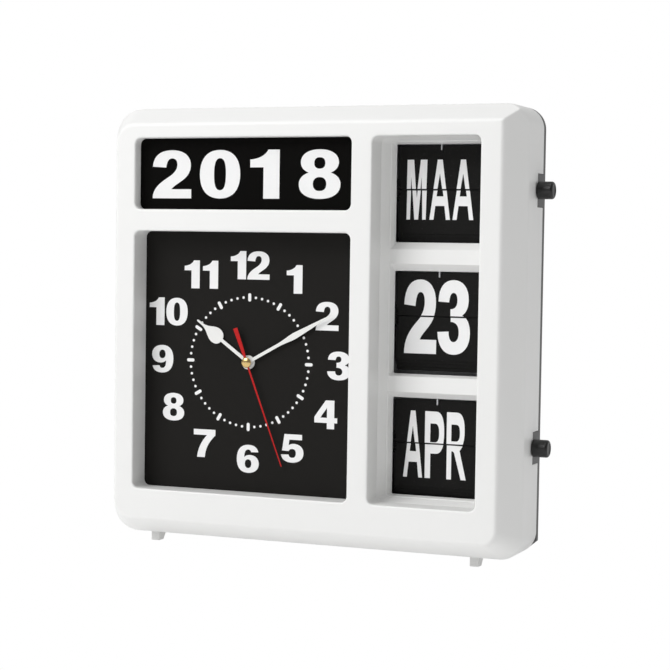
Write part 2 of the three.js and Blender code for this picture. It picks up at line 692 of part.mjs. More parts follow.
// The loop round two circles on the weekday and date axles, with the given extra radius.
function beltLoop(extra) {
  const high = UNITS[0].split;
  const low = UNITS[1].split;
  const lean = Math.asin((DATE_PULLEY - WEEKDAY_PULLEY) / (high - low));
  const shape = new THREE.Shape();
  shape.absarc(SPOOL_Y, high, WEEKDAY_PULLEY + extra, lean, Math.PI - lean);
  shape.absarc(SPOOL_Y, low, DATE_PULLEY + extra, Math.PI - lean, 2 * Math.PI + lean);
  shape.closePath();
  return shape;
}

function makeDrive() {
  makePulley('weekday_pulley', UNITS[0].split, WEEKDAY_PULLEY);
  makePulley('date_pulley', UNITS[1].split, DATE_PULLEY);
  const [near, far] = PULLEY_X;
  const belt = sideSlab(beltLoop(GAP + BELT_THICKNESS), near + GAP, far - GAP, 8);
  addPart('calendar_belt', BELT_RUBBER, cut(belt, sideSlab(beltLoop(GAP), near, far, 8)));
  const split = UNITS[1].split;
  let motor = box(34, FRAME_LEFT - GAP, EDGE_Y + 0.4, 48, split - 15, split + 15);
  motor = cut(motor, rodX(AXLE_RADIUS + GAP, 42, FRAME_LEFT, SPOOL_Y, split, 12));
  addPart('calendar_motor', BLACK_PLASTIC, motor);
}

// A tray behind the battery door, open to the back, with the calendar's own cell.
function makeCalendarCell() {
  const { z, halfX, halfZ, wall, front, back } = TRAY;
  const { x } = DIAL_CENTRE;
  const inX = halfX - wall;
  const inZ = halfZ - wall;
  let tray = box(x - halfX, x + halfX, front, back, z - halfZ, z + halfZ);
  tray = cut(tray, box(x - inX, x + inX, front + wall, back + PAST, z - inZ, z + inZ));
  addPart('calendar_cell_tray', BLACK_PLASTIC, tray);
  const cell = [[-24.6, 0], [-24.6, 13], [23.4, 13], [23.6, 3], [24.9, 3], [24.9, 0]];
  addPart('calendar_cell', CELL_WRAP, turnedX(cell, CELL_Y, z, 18).translate([x, 0, 0]));
}

makeHousing();
makeBezel();
makeBackCover();
makeBatteryDoor();
makeCoverScrews();
makeDial();
makeYearCard();
makeMovement();
makeHands();
makeFrame();
UNITS.forEach(makeFlipUnit);
makeKnob('upper_knob', UNITS[0].split);
makeKnob('lower_knob', UNITS[2].split);
makeDrive();
makeCalendarCell();

export default clock;
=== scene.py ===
"""Looks of a flip calendar clock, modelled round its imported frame.

Sizes are in metres. Pieces are drawn in the housing's own coordinates: x from its middle, y back from its front
face and z up from its underside. TO_ROW moves them to where the frame holds the housing.
"""
import json
import math
import re

import bmesh
import bpy
from mathutils import Matrix, Vector


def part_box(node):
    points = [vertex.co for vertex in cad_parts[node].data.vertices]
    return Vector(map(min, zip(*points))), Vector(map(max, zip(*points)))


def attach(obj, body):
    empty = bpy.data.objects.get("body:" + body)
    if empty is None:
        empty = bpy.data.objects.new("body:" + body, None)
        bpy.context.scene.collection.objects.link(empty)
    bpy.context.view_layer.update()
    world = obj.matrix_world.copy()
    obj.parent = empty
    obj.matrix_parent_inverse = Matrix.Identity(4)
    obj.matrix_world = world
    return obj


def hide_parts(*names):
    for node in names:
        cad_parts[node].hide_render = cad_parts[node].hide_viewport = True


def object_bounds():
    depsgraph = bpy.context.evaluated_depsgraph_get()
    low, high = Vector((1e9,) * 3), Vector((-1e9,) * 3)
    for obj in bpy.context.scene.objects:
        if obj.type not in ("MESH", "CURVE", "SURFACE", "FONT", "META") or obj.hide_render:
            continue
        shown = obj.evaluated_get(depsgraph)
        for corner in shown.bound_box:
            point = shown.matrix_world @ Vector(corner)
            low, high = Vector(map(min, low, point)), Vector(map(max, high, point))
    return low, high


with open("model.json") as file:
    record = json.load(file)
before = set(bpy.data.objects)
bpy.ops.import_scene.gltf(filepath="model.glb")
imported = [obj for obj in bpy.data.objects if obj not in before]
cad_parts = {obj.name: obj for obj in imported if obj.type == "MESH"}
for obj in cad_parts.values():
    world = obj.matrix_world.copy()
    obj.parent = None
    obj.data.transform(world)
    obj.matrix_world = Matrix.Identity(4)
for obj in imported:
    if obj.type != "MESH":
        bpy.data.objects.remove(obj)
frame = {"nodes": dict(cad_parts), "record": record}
CAD_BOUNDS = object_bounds()

bl_info = {
    "name": "Flip calendar clock",
    "version": (1, 0, 0),
    "blender": (4, 5, 0),
    "location": "3D View > Sidebar > Clock",
    "description": "Makes the case, dial, hands, flip leaves and finishes of a flip calendar clock",
    "category": "Object",
}

MM = 0.001

# The housing in the frame.
HOUSING_LOW, HOUSING_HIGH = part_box("front_housing")
COVER_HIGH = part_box("back_cover")[1]
HEIGHT = 276.1 * MM
HALF_WIDTH = (HOUSING_HIGH.x - HOUSING_LOW.x) / 2
SHELL_DEPTH = 51.3 * MM
DEPTH = COVER_HIGH.y - HOUSING_LOW.y
FOOT_HEIGHT = HOUSING_HIGH.z - HOUSING_LOW.z - HEIGHT
ORIGIN = Vector((HOUSING_LOW.x + HALF_WIDTH, HOUSING_LOW.y, HOUSING_HIGH.z - HEIGHT))
TO_ROW = Matrix.Translation(ORIGIN)

GAP = 0.3 * MM
WELD = 0.002 * MM

# Openings in the front face, as left, right, bottom and top, and the depth of their walls.
YEAR_WINDOW = Vector((-115.9, 33.0, 210.8, 256.1)) * MM
DIAL_WINDOW = Vector((-115.9, 33.0, 31.0, 196.9)) * MM
FLIP_OPENING = Vector((46.6, 115.7, 31.0, 256.1)) * MM
WINDOW_DEPTHS = ((YEAR_WINDOW, 8 * MM), (DIAL_WINDOW, 17 * MM), (FLIP_OPENING, 17 * MM))
FRAME_WALL = 2.5 * MM

# The insert in the flip opening: its mouth, the bars' faces, and the leaf windows' inner edges.
INSERT_Y = 17.3 * MM
RIDGE_Y = 25 * MM
EDGE_Y = 30 * MM
RIDGE_X = (50.2 * MM, 112.1 * MM)
EDGE_X = (52 * MM, 110 * MM)
UNITS = {
    "weekday": {"split": 224.5 * MM, "ridge": (187.4 * MM, 253.8 * MM), "edge": (191.9 * MM, 252.5 * MM)},
    "date": {"split": 146.2 * MM, "ridge": (108.8 * MM, 178.5 * MM), "edge": (110.2 * MM, 174.1 * MM)},
    "month": {"split": 67.1 * MM, "ridge": (33.8 * MM, 99.0 * MM), "edge": (34.5 * MM, 95.3 * MM)},
}

# Leaves: the one about to fall, those behind it, and the fallen ones.
LEAF_X = 81 * MM
LEAF_Y = 31 * MM
BACK_LEAF_Y = 31.7 * MM
LEAF_THICKNESS = 0.4 * MM
STACK_Y = 32.2 * MM
STACK_STEP = 0.6 * MM
STACK_DROP = 2.2 * MM

# Dial and hands.
DIAL_X = -41.8 * MM
DIAL_Z = 114.05 * MM
DIAL_Y = 17.3 * MM
YEAR_Y = 8.3 * MM
HOUR_ANGLE = 305.6
MINUTE_ANGLE = 61
SECOND_ANGLE = 159

# Right side: spool axis, knobs, and the notches in the housing that the cover's tabs fill.
SPOOL_Y = 39.2 * MM
AXLE_RADIUS = 2 * MM
KNOB_X = (HALF_WIDTH + 0.4 * MM, HALF_WIDTH + 10.4 * MM)
KNOB_RADIUS = 5.4 * MM
NOTCHES = ((214.2 * MM, 234.9 * MM), (56.6 * MM, 76.9 * MM))
NOTCH_Y = 39 * MM
FOOT_X = (-112.2 * MM, 108.1 * MM)
REAR_FOOT_X = (-124.5 * MM, 100 * MM)
FOOT_WIDTH = 5.6 * MM
FOOT_SHAPE = {"front": 26 * MM, "back": 38 * MM, "toe": 32 * MM, "top": 1 * MM}
REAR_FOOT_SHAPE = {"front": 53.6 * MM, "back": 56.7 * MM, "toe": 56.4 * MM, "top": 3 * MM}
AXLE_HOLE = AXLE_RADIUS + 0.8 * MM

# Back cover.
COVER_BOTTOM = 1.7 * MM
COVER_WALL = 2.5 * MM
DOOR = Vector((-75, -9, 84, 186)) * MM
DOOR_THICKNESS = 2.2 * MM
COVER_SCREWS = ((-124, 16), (124, 16), (-124, 260), (124, 260))
KEYHOLES_X = (-60 * MM, 60 * MM)
KEYHOLE_Z = 240 * MM
KEYHOLE_ENTRY = 4.5 * MM
SCREW_BORE, SCREW_SINK, SCREW_SEAT = 1.8 * MM, 3.7 * MM, 1.5 * MM
COVER_LOW_CORNER = 7 * MM
LEAST_CORNER = 0.6 * MM
CUT_START = 8 * MM

# Digits and letters, 100 high, as moves, lines, curves and closes.
GLYPHS = {
    "0": "M36 0 C58 0 70 18 70 50 C70 82 58 100 36 100 C14 100 2 82 2 50 C2 18 14 0 36 0 Z"
         "M36 17 C29 17 26 27 26 50 C26 73 29 83 36 83 C43 83 46 73 46 50 C46 27 43 17 36 17 Z",
    "1": "M28 0 L52 0 L52 100 L35 100 C31 88 20 81 8 80 L8 64 L28 64 Z",
    "2": "M3 0 L69 0 L69 19 L35 19 C38 24 44 29 50 34 C62 44 68 54 68 69 C68 88 56 100 36 100"
         "C16 100 4 89 3 66 L26 64 C27 76 30 83 36 83 C42 83 45 78 45 70 C45 60 40 52 30 44 C12 30 3 18 3 0 Z",
    "3": "M2 30 C3 10 16 0 35 0 C56 0 69 11 69 29 C69 41 63 50 53 53 C62 57 66 64 66 74 C66 90 54 100 35 100"
         "C16 100 4 90 4 71 L26 70 C27 79 30 83 35 83 C40 83 43 79 43 73 C43 65 38 61 29 61 L29 44"
         "C40 44 46 39 46 30 C46 22 42 17 35 17 C29 17 25 22 25 31 Z",
    "4": "M40 0 L62 0 L62 21 L71 21 L71 39 L62 39 L62 100 L36 100 L2 41 L2 21 L40 21 Z"
         "M40 39 L20 39 L40 74 Z",
    "5": "M2 27 C4 9 17 0 35 0 C56 0 70 13 70 34 C70 54 58 66 41 66 C34 66 29 64 25 60 L27 80 L65 80 L65 99"
         "L12 99 L5 41 L25 40 C28 46 31 48 36 48 C43 48 47 43 47 33 C47 23 43 17 36 17 C29 17 26 21 25 28 Z",
    "6": "M68 75 C66 91 55 100 38 100 C15 100 2 82 2 49 C2 17 14 0 37 0 C57 0 70 13 70 33 C70 52 59 64 43 64"
         "C35 64 29 61 25 55 C25 74 29 83 37 83 C42 83 45 80 46 74 Z"
         "M37 48 C43 48 47 43 47 33 C47 23 43 17 37 17 C31 17 27 23 27 33 C27 42 31 48 37 48 Z",
    "7": "M14 0 L38 0 C39 32 51 57 70 79 L70 99 L3 99 L3 79 L44 79 C27 57 16 30 14 0 Z",
    "8": "M36 0 C57 0 70 11 70 29 C70 41 64 49 54 53 C62 57 67 64 67 74 C67 90 55 100 36 100"
         "C17 100 5 90 5 74 C5 64 10 57 18 53 C8 49 2 41 2 29 C2 11 15 0 36 0 Z"
         "M36 61 C30 61 27 65 27 72 C27 80 30 84 36 84 C42 84 45 80 45 72 C45 65 42 61 36 61 Z"
         "M36 16 C29 16 25 21 25 30 C25 39 29 44 36 44 C43 44 47 39 47 30 C47 21 43 16 36 16 Z",
    "9": "M4 25 C6 9 17 0 34 0 C57 0 70 18 70 51 C70 83 58 100 35 100 C15 100 2 87 2 67 C2 48 13 36 29 36"
         "C37 36 43 39 47 45 C47 26 43 17 35 17 C30 17 27 20 26 26 Z"
         "M35 52 C29 52 25 57 25 67 C25 77 29 83 35 83 C41 83 45 77 45 67 C45 58 41 52 35 52 Z",
    "A": "M0 0 L20 0 L28 23 L72 23 L80 0 L100 0 L62 100 L38 100 Z M33 39 L67 39 L50 77 Z",
    "D": "M0 0 L44 0 C82 0 100 18 100 50 C100 82 82 100 44 100 L0 100 Z"
         "M28 18 L28 82 L44 82 C62 82 72 72 72 50 C72 28 62 18 44 18 Z",
    "E": "M0 0 L100 0 L100 18 L30 18 L30 42 L92 42 L92 59 L30 59 L30 82 L98 82 L98 100 L0 100 Z",
    "I": "M0 0 L30 0 L30 100 L0 100 Z",
    "M": "M0 0 L17 0 L22 72 L38 0 L57 0 L73 72 L77 0 L94 0 L100 100 L68 100 L49 36 L35 100 L3 100 Z",
    "N": "M0 0 L26 0 L26 60 L72 0 L100 0 L100 100 L74 100 L74 42 L28 100 L0 100 Z",
    "P": "M0 0 L28 0 L28 37 L58 37 C86 37 100 50 100 68 C100 88 88 100 58 100 L0 100 Z"
         "M28 54 L28 82 L52 82 C66 82 74 78 74 68 C74 58 66 54 52 54 Z",
    "R": "M0 0 L24 0 L24 42 C34 42 38 41 41 36 L74 0 L100 0 L66 43 C84 50 92 58 92 72 C92 90 80 100 52 100"
         "L0 100 Z M24 57 L24 82 L48 82 C62 82 68 78 68 70 C68 61 62 57 48 57 Z",
}
NARROW = {"1": 0.7, "I": 0.4}

# Hand outlines in millimetres, pointing up from the dial's centre.
HOUR_HAND = ("M-1.1 0 L-1.1 23.2 C-3.9 23.6 -5.1 26 -5.1 28.3 C-5.1 32.6 -1.6 34.6 -0.8 39.2 L-0.6 44.2"
             "C-0.4 45 0.4 45 0.6 44.2 L0.8 39.2 C1.6 34.6 5.1 32.6 5.1 28.3 C5.1 26 3.9 23.6 1.1 23.2 L1.1 0 Z")
MINUTE_HAND = ("M-1 0 L-1 24 C-1.1 30 -2 33 -2 37.5 L-0.35 64.6 C-0.2 65 0.2 65 0.35 64.6 L2 37.5"
               "C2 33 1.1 30 1 24 L1 0 Z")
SECOND_HAND = "M-1.5 -23.2 L1.5 -23.2 L1.1 -8 L0.6 0 L0.3 69.7 L-0.3 69.7 L-0.6 0 L-1.1 -8 Z"

# Leaf outlines in millimetres from the middle of the hinge line: lugs beside the spool's discs, and above the
# line a notch for the hook.
UPPER_LEAF = ("M-28.5 0.2 L28.5 0.2 L28.5 1.6 L27.2 1.6 L27.2 5.2 L28.5 6 L28.5 25.9 C28.5 26.8 27.9 27.4 27 27.4"
              "L1 27.4 L1 23.7 L-1 23.7 L-1 27.4 L-27 27.4 C-27.9 27.4 -28.5 26.8 -28.5 25.9"
              "L-28.5 6 L-27.2 5.2 L-27.2 1.6 L-28.5 1.6 Z")
LOWER_LEAF = ("M-28.5 -0.25 L-28.5 -1.6 L-27.2 -1.6 L-27.2 -5.2 L-28.5 -6 L-28.5 -25.9"
              "C-28.5 -26.8 -27.9 -27.4 -27 -27.4 L27 -27.4 C27.9 -27.4 28.5 -26.8 28.5 -25.9"
              "L28.5 -6 L27.2 -5.2 L27.2 -1.6 L28.5 -1.6 L28.5 -0.25 Z")


# ---- Settings.
def length(name, description, default):
    return bpy.props.FloatProperty(name=name, description=description, default=default, unit="LENGTH", precision=5)


def colour(name, description, default):
    return bpy.props.FloatVectorProperty(
        name=name, description=description, default=default, subtype="COLOR", size=3, min=0, max=1)


def words(name, description, default):
    return bpy.props.StringProperty(name=name, description=description, default=default)


class CaseSettings(bpy.types.PropertyGroup):
    corner: length("Left corner radius", "Radius of the case's left corners, seen from the front", 18 * MM)
    corner_cut: bpy.props.FloatProperty(
        name="Cover corner cut", description="Slope of the cut across the cover's lower right corner",
        default=math.radians(40), subtype="ANGLE")
    right_corner: length("Right corner radius", "Radius of the case's right corners", 14 * MM)
    chamfer_in: length("Chamfer width", "How far the sloping front edge reaches in over the front", 10.8 * MM)
    chamfer_back: length("Chamfer depth", "How far the sloping front edge reaches back along the sides", 20.2 * MM)
    wall: length("Wall", "Thickness of the moulded walls", 2.5 * MM)
    front_blend: length("Front blend", "How far the rounding at the front face's edge reaches", 2.2 * MM)
    side_blend: length("Side blend", "How far the rounding of the slopes' back edges reaches", 1.6 * MM)
    window_blend: length("Window blend", "How far the rounding of the window edges reaches", 1.5 * MM)
    window_corner: length("Window corner", "Corner radius of the three openings in the front", 4 * MM)


class DialSettings(bpy.types.PropertyGroup):
    numeral_radius: length("Numeral circle", "Radius of the circle that the numerals' middles stand on", 61.8 * MM)
    numeral_height: length("Numeral height", "Height of the hour numerals", 18 * MM)
    numeral_width: length("Numeral width", "Width of a full-width hour numeral", 15.5 * MM)
    track_radius: length("Minute track", "Radius of the ring of minute marks", 41.4 * MM)
    dot_radius: length("Minute dot", "Radius of a minute dot", 0.85 * MM)
    bar_length: length("Hour bar length", "Length of the rounded bar at each hour", 5.3 * MM)
    bar_width: length("Hour bar width", "Width of the rounded bar at each hour", 2.1 * MM)


class CalendarSettings(bpy.types.PropertyGroup):
    year: words("Year", "Year printed on the card", "2018")
    weekday: words("Weekday", "Letters on the weekday leaves", "MAA")
    next_weekday: words("Next weekday", "Letters on the leaf behind", "DIN")
    date: words("Date", "Number on the date leaves", "23")
    next_date: words("Next date", "Number on the leaf behind", "24")
    month: words("Month", "Letters on the month leaves", "APR")
    next_month: words("Next month", "Letters on the leaf behind", "MEI")


class FinishSettings(bpy.types.PropertyGroup):
    white: colour("Case white", "Moulded white of the case", (0.86, 0.86, 0.85))
    cover: colour("Cover black", "Moulded black of the back cover", (0.1, 0.1, 0.1))
    card: colour("Card black", "Black of the dial and the year card", (0.0135, 0.0128, 0.0118))
    leaf: colour("Leaf black", "Black of the calendar leaves", (0.0072, 0.007, 0.0066))
    ink: colour("Print white", "White of numerals and letters", (0.9, 0.9, 0.9))
    red: colour("Second hand red", "Paint on the second hand", (0.5, 0.0, 0.0))
    brass: colour("Brass", "Turned brass of the centre cap", (0.72, 0.52, 0.22))


class StageSettings(bpy.types.PropertyGroup):
    key: bpy.props.FloatProperty(
        name="Key light", description="Power of the large soft light at the front left", default=33, unit="POWER")
    top: bpy.props.FloatProperty(
        name="Top light", description="Power of the soft light overhead", default=6.5, unit="POWER")
    sky: bpy.props.FloatProperty(
        name="Surroundings", description="Strength of the even light from all round", default=0.42)
    background: colour("Background", "Colour behind the clock", (1, 1, 1))


# ---- Shader writing.
class Value:
    """A socket of a material's nodes that arithmetic can be written on."""

    def __init__(self, shader, socket):
        self.shader = shader
        self.socket = socket

    def __add__(self, other):
        return self.shader.math("ADD", self, other)

    def __mul__(self, other):
        return self.shader.math("MULTIPLY", self, other)

    __radd__ = __add__
    __rmul__ = __mul__


class Shader:
    """A new material with one surface node. Constants go straight to that node's sockets."""

    def __init__(self, name, **constants):
        self.material = bpy.data.materials.new(name)
        self.material.use_nodes = True
        self.tree = self.material.node_tree
        self.surface = self.tree.nodes["Principled BSDF"]
        self.surface.inputs["IOR"].default_value = 1.5
        for socket, value in constants.items():
            self.give(socket.replace("_", " "), value)
        self.place = self.node("TexCoord", output="Object")

    def node(self, kind, settings=None, inputs=None, output=0):
        made = self.tree.nodes.new("ShaderNode" + kind)
        for key, value in (settings or {}).items():
            if key == "stops":
                for stop, (position, level) in zip(made.color_ramp.elements, value):
                    stop.position = position
                    stop.color = (level, level, level, 1)
            else:
                setattr(made, key, value)
        for key, value in (inputs or {}).items():
            self.feed(made.inputs[key], value)
        return Value(self, made.outputs[output])

    def feed(self, socket, value):
        if isinstance(value, Value):
            self.tree.links.new(value.socket, socket)
        elif socket.type == "RGBA":
            socket.default_value = (*value[:3], 1)
        else:
            socket.default_value = value

    def give(self, socket, value):
        self.feed(self.surface.inputs[socket], value)

    def math(self, operation, a, b):
        return self.node("Math", {"operation": operation}, {0: a, 1: b})

    def mapped(self, scale=(1, 1, 1), shift=(0, 0, 0)):
        inputs = {"Vector": self.place, "Scale": scale, "Location": shift}
        return self.node("Mapping", {"vector_type": "POINT"}, inputs)

    def noise(self, scale, detail=2, roughness=0.5, place=None):
        inputs = {"Vector": place or self.place, "Scale": scale, "Detail": detail, "Roughness": roughness}
        return self.node("TexNoise", {}, inputs)

    def ramp(self, value, *stops):
        return self.node("ValToRGB", {"stops": stops}, {"Fac": value})

    def tint(self, amount, low, high):
        """A colour between low and high."""
        return self.node("Mix", {"data_type": "RGBA"}, {0: amount, 6: low, 7: high}, output=2)

    def bump(self, height, depth):
        """Raises the surface by height times depth."""
        self.give("Normal", self.node("Bump", {}, {"Strength": 1.0, "Distance": depth, "Height": height}))

    def finished(self, tint, roughness, height, depth):
        """Gives the tint's (amount, low, high), the roughness and the relief, and returns the material."""
        self.give("Base Color", self.tint(*tint))
        self.give("Roughness", roughness)
        self.bump(height, depth)
        return self.material


def shade(rgb, factor):
    """The same colour, lighter or darker."""
    return tuple(min(1.0, level * factor) for level in rgb[:3])


def finish_settings():
    return bpy.context.scene.clock_finish


def moulded_white():
    """Semi-gloss white plastic with a faint ripple from the mould."""
    white = finish_settings().white
    shader = Shader("housing_white", Specular_IOR_Level=0.45)
    cloud = shader.noise(14, 3)
    roughness = 0.3 + 0.1 * cloud + 0.04 * shader.noise(600)
    return shader.finished(
        (cloud, shade(white, 0.985), shade(white, 1.01)), roughness, shader.noise(120, 1), 0.002 * MM)


def textured_black():
    """Black plastic with a fine spark-eroded grain."""
    black = finish_settings().cover
    shader = Shader("cover_black")
    grain = shader.noise(2800, 3, 0.6)
    cloud = shader.noise(20, 3)
    return shader.finished(
        (grain, shade(black, 0.75), shade(black, 1.3)), 0.4 + 0.12 * cloud + 0.1 * grain, grain, 0.035 * MM)


def matt_card(name="dial_black", share=1.0):
    """Printed black card: very matt, with faint fibres. Share makes it lighter or darker."""
    black = shade(finish_settings().card, share)
    shader = Shader(name, Specular_IOR_Level=0.07 * share)
    fibre = shader.noise(900, 4, 0.7, shader.mapped(scale=(1, 1, 3)))
    return shader.finished((fibre, shade(black, 0.85), shade(black, 1.2)), 0.55 + 0.2 * fibre, fibre, 0.01 * MM)


def leaf_sheet():
    """Thin satin black sheet with fine drawn streaks and a little dust."""
    black = finish_settings().leaf
    shader = Shader("leaf_black", Specular_IOR_Level=0.1)
    streak = shader.noise(300, 3, 0.6, shader.mapped(scale=(6, 1, 0.6)))
    dust = shader.ramp(shader.noise(1500, 2), (0.68, 0), (0.74, 1))
    colour_now = shader.tint(streak, shade(black, 0.85), shade(black, 1.25))
    return shader.finished((dust * 0.12, colour_now, (0.2, 0.2, 0.19)), 0.36 + 0.12 * streak, streak, 0.008 * MM)


def plain_black(name, level, roughness):
    """Plain moulded black plastic with a slightly uneven gloss."""
    black = (level,) * 3
    shader = Shader(name)
    cloud = shader.noise(160, 3)
    return shader.finished(
        (cloud, shade(black, 0.8), shade(black, 1.2)), roughness + 0.12 * cloud, shader.noise(1800, 2), 0.008 * MM)


def paint(name, rgb, roughness, specular):
    """Thin even paint or ink, with a fine tooth."""
    shader = Shader(name, Specular_IOR_Level=specular)
    tooth = shader.noise(1600, 2)
    return shader.finished((tooth, shade(rgb, 0.96), shade(rgb, 1.02)), roughness + 0.1 * tooth, tooth, 0.006 * MM)


def turned_brass():
    """Polished brass with the fine rings of a lathe tool round the dial's centre."""
    brass = finish_settings().brass
    shader = Shader("brass", Metallic=1.0)
    middle = TO_ROW @ Vector((DIAL_X, 0, DIAL_Z))
    about = shader.mapped(shift=tuple(-middle))
    rings = shader.node(
        "TexWave", {"wave_type": "RINGS", "rings_direction": "Y"},
        {"Vector": about, "Scale": 900, "Distortion": 0.4})
    tarnish = shader.noise(700, 3)
    return shader.finished((tarnish, shade(brass, 0.8), shade(brass, 1.1)), 0.16 + 0.12 * tarnish, rings, 0.004 * MM)


def plated_steel():
    """Zinc-plated steel with the rolling direction along z."""
    shader = Shader("steel", Metallic=1.0)
    rolled = shader.noise(400, 4, 0.6, shader.mapped(scale=(5, 5, 0.4)))
    return shader.finished((rolled, (0.42, 0.43, 0.45), (0.62, 0.62, 0.62)), 0.3 + 0.15 * rolled, rolled, 0.01 * MM)


def belt_rubber():
    """Black rubber with a soft bloom."""
    shader = Shader("belt_rubber")
    bloom = shader.noise(500, 4, 0.6)
    return shader.finished(
        (bloom, (0.012, 0.012, 0.012), (0.035, 0.035, 0.034)), 0.7 + 0.2 * bloom, bloom, 0.04 * MM)


def cell_wrap():
    """Printed film shrunk round a dry cell."""
    shader = Shader("cell_wrap", Coat_Weight=0.5)
    soft = shader.noise(120, 3)
    return shader.finished(
        (soft, (0.03, 0.075, 0.15), (0.05, 0.12, 0.22)), 0.25 + 0.1 * soft, shader.noise(900, 2), 0.006 * MM)


FINISHES = {
    "housing_white": moulded_white,
    "cover_black": textured_black,
    "dial_black": matt_card,
    "leaf_black": leaf_sheet,
    "works_black": lambda: plain_black("works_black", 0.02, 0.45),
    "knob_black": lambda: plain_black("knob_black", 0.003, 0.28),
    "hand_white": lambda: paint("hand_white", (0.84, 0.84, 0.82), 0.4, 0.4),
    "ink_white": lambda: paint("ink_white", finish_settings().ink, 0.55, 0.2),
    "hand_red": lambda: paint("hand_red", finish_settings().red, 0.4, 0.35),
    "brass": turned_brass,
    "steel": plated_steel,
    "belt_rubber": belt_rubber,
    "cell_wrap": cell_wrap,
    "pulley_white": lambda: paint("pulley_white", (0.78, 0.78, 0.75), 0.4, 0.5),
}
made_finishes = {}


def finish(name):
    """The finish of that name, made the first time it is asked for."""
    if name not in made_finishes:
        made_finishes[name] = FINISHES[name]()
    return made_finishes[name]


# ---- Modelling.
def piece(name, bm, body, slot, replaces=(), material=None, sharp=32, even=True):
    """Closes a drawn mesh, moves it to the row frame and hands it to its body."""
    bmesh.ops.remove_doubles(bm, verts=bm.verts, dist=WELD)
    bmesh.ops.recalc_face_normals(bm, faces=bm.faces)
    bmesh.ops.transform(bm, matrix=TO_ROW, verts=bm.verts)
    mesh = bpy.data.meshes.new(name)
    bm.to_mesh(mesh)
    bm.free()
    mesh.shade_smooth()
    mesh.set_sharp_from_angle(angle=math.radians(sharp))
    mesh.materials.append(finish(material or slot))
    made = bpy.data.objects.new(name, mesh)
    bpy.context.scene.collection.objects.link(made)
    if even:
        made.modifiers.new("even shading", "WEIGHTED_NORMAL").keep_sharp = True
    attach(made, body)
    if replaces:
        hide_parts(*replaces)
    return made


def station(rect, y, *radii):
    """A rounded rectangle to pass through: its sides, its y and its radii, counted round from the bottom left."""
    return Vector((*rect, y, *(radii * 4)[:4]))


def grown(rect, amount):
    left, right, bottom, top = rect
    return Vector((left - amount, right + amount, bottom - amount, top + amount))


def soften(path, reaches, steps=4):
    """The path with each inner corner rounded by its reach, at most half way to its neighbours."""
    if isinstance(reaches, (int, float)):
        reaches = [reaches] * (len(path) - 2)
    soft = [path[0]]
    for before, corner, after, reach in zip(path, path[1:], path[2:], reaches):
        ends = []
        for neighbour in (before, after):
            span = max(abs(a - b) for a, b in zip(neighbour, corner))
            ends.append(corner + (neighbour - corner) * min(0.48, reach / span))
        for i in range(steps + 1):
            t = i / steps
            soft.append(ends[0] * (1 - t) ** 2 + corner * (2 * t * (1 - t)) + ends[1] * t ** 2)
    soft.append(path[-1])
    return soft


def outline_of(place, segments):
    """The corners of a rounded rectangle in the x-z plane, in order."""
    left, right, bottom, top, y, *radii = place
    small = bmesh.new()
    corners = ((left, bottom), (right, bottom), (right, top), (left, top))
    verts = [small.verts.new((x, y, z)) for x, z in corners]
    small.faces.new(verts)
    for vert, radius in zip(verts, radii):
        bmesh.ops.bevel(
            small, geom=[vert], offset=max(radius, 0.05 * MM), offset_type="OFFSET", segments=segments,
            profile=0.5, affect="VERTICES", material=-1)
    small.faces.ensure_lookup_table()
    outline = [vert.co.copy() for vert in small.faces[0].verts]
    small.free()
    start = min(range(len(outline)), key=lambda i: (outline[i] - Vector((left, y, bottom))).length)
    return outline[start:] + outline[:start]


def ring(bm, outline):
    """Draws a closed outline and returns its vertices and edges."""
    verts = [bm.verts.new(point) for point in outline]
    return verts, [bm.edges.new(pair) for pair in zip(verts, verts[1:] + verts[:1])]


def tube(bm, path, segments=8):
    """Extrudes a rounded rectangle along a path of them. Returns the first and the last one's edges."""
    outlines = [outline_of(place, segments) for place in path]
    verts, first = ring(bm, outlines[0])
    last = first
    for outline in outlines[1:]:
        made = bmesh.ops.extrude_edge_only(bm, edges=last)["geom"]
        moved = {item for item in made if isinstance(item, bmesh.types.BMVert)}
        verts = [next(e.other_vert(v) for e in v.link_edges if e.other_vert(v) in moved) for v in verts]
        last = [e for e in made if isinstance(e, bmesh.types.BMEdge) and moved.issuperset(e.verts)]
        for vert, point in zip(verts, outline):
            vert.co = point
    return first, last


def fill(bm, *rings):
    """Fills a flat face between an outer outline and any inside it."""
    edges = [edge for outline in rings for edge in outline]
    bmesh.ops.triangle_fill(bm, use_beauty=True, use_dissolve=False, edges=edges, normal=(0, -1, 0))


def turned(bm, profile, along, centre, segments=48):
    """Turns (place along the axis, radius) points about the X or the Y axis through centre."""
    axis = Vector((1, 0, 0)) if along == "X" else Vector((0, 1, 0))
    verts = [bm.verts.new(centre + axis * p[0] + Vector((0, 0, p[1]))) for p in profile]
    edges = [bm.edges.new(pair) for pair in zip(verts, verts[1:])]
    bmesh.ops.spin(
        bm, geom=verts + edges, cent=centre, axis=axis, dvec=(0, 0, 0), angle=2 * math.pi,
        steps=segments, use_merge=True, use_duplicate=False)


def pin(bm, start, end, radius, along, centre, segments=32):
    """A round pin between two places along the X or the Y axis."""
    turned(bm, [(start, 0), (start, radius), (end, radius), (end, 0)], along, centre, segments)


def axle_pins(bm, depth):
    """Pins for the holes that the two knobs' axles pass through, reaching depth in from the right side."""
    for name in ("weekday", "month"):
        centre = Vector((0, SPOOL_Y, UNITS[name]["split"]))
        pin(bm, HALF_WIDTH - depth, HALF_WIDTH + 1 * MM, AXLE_HOLE, "X", centre)


def vectors(*pairs):
    """Profile points from pairs in metres."""
    return [Vector(pair) for pair in pairs]


def points(*pairs):
    """Profile points from pairs in millimetres."""
    return [Vector(pair) * MM for pair in pairs]


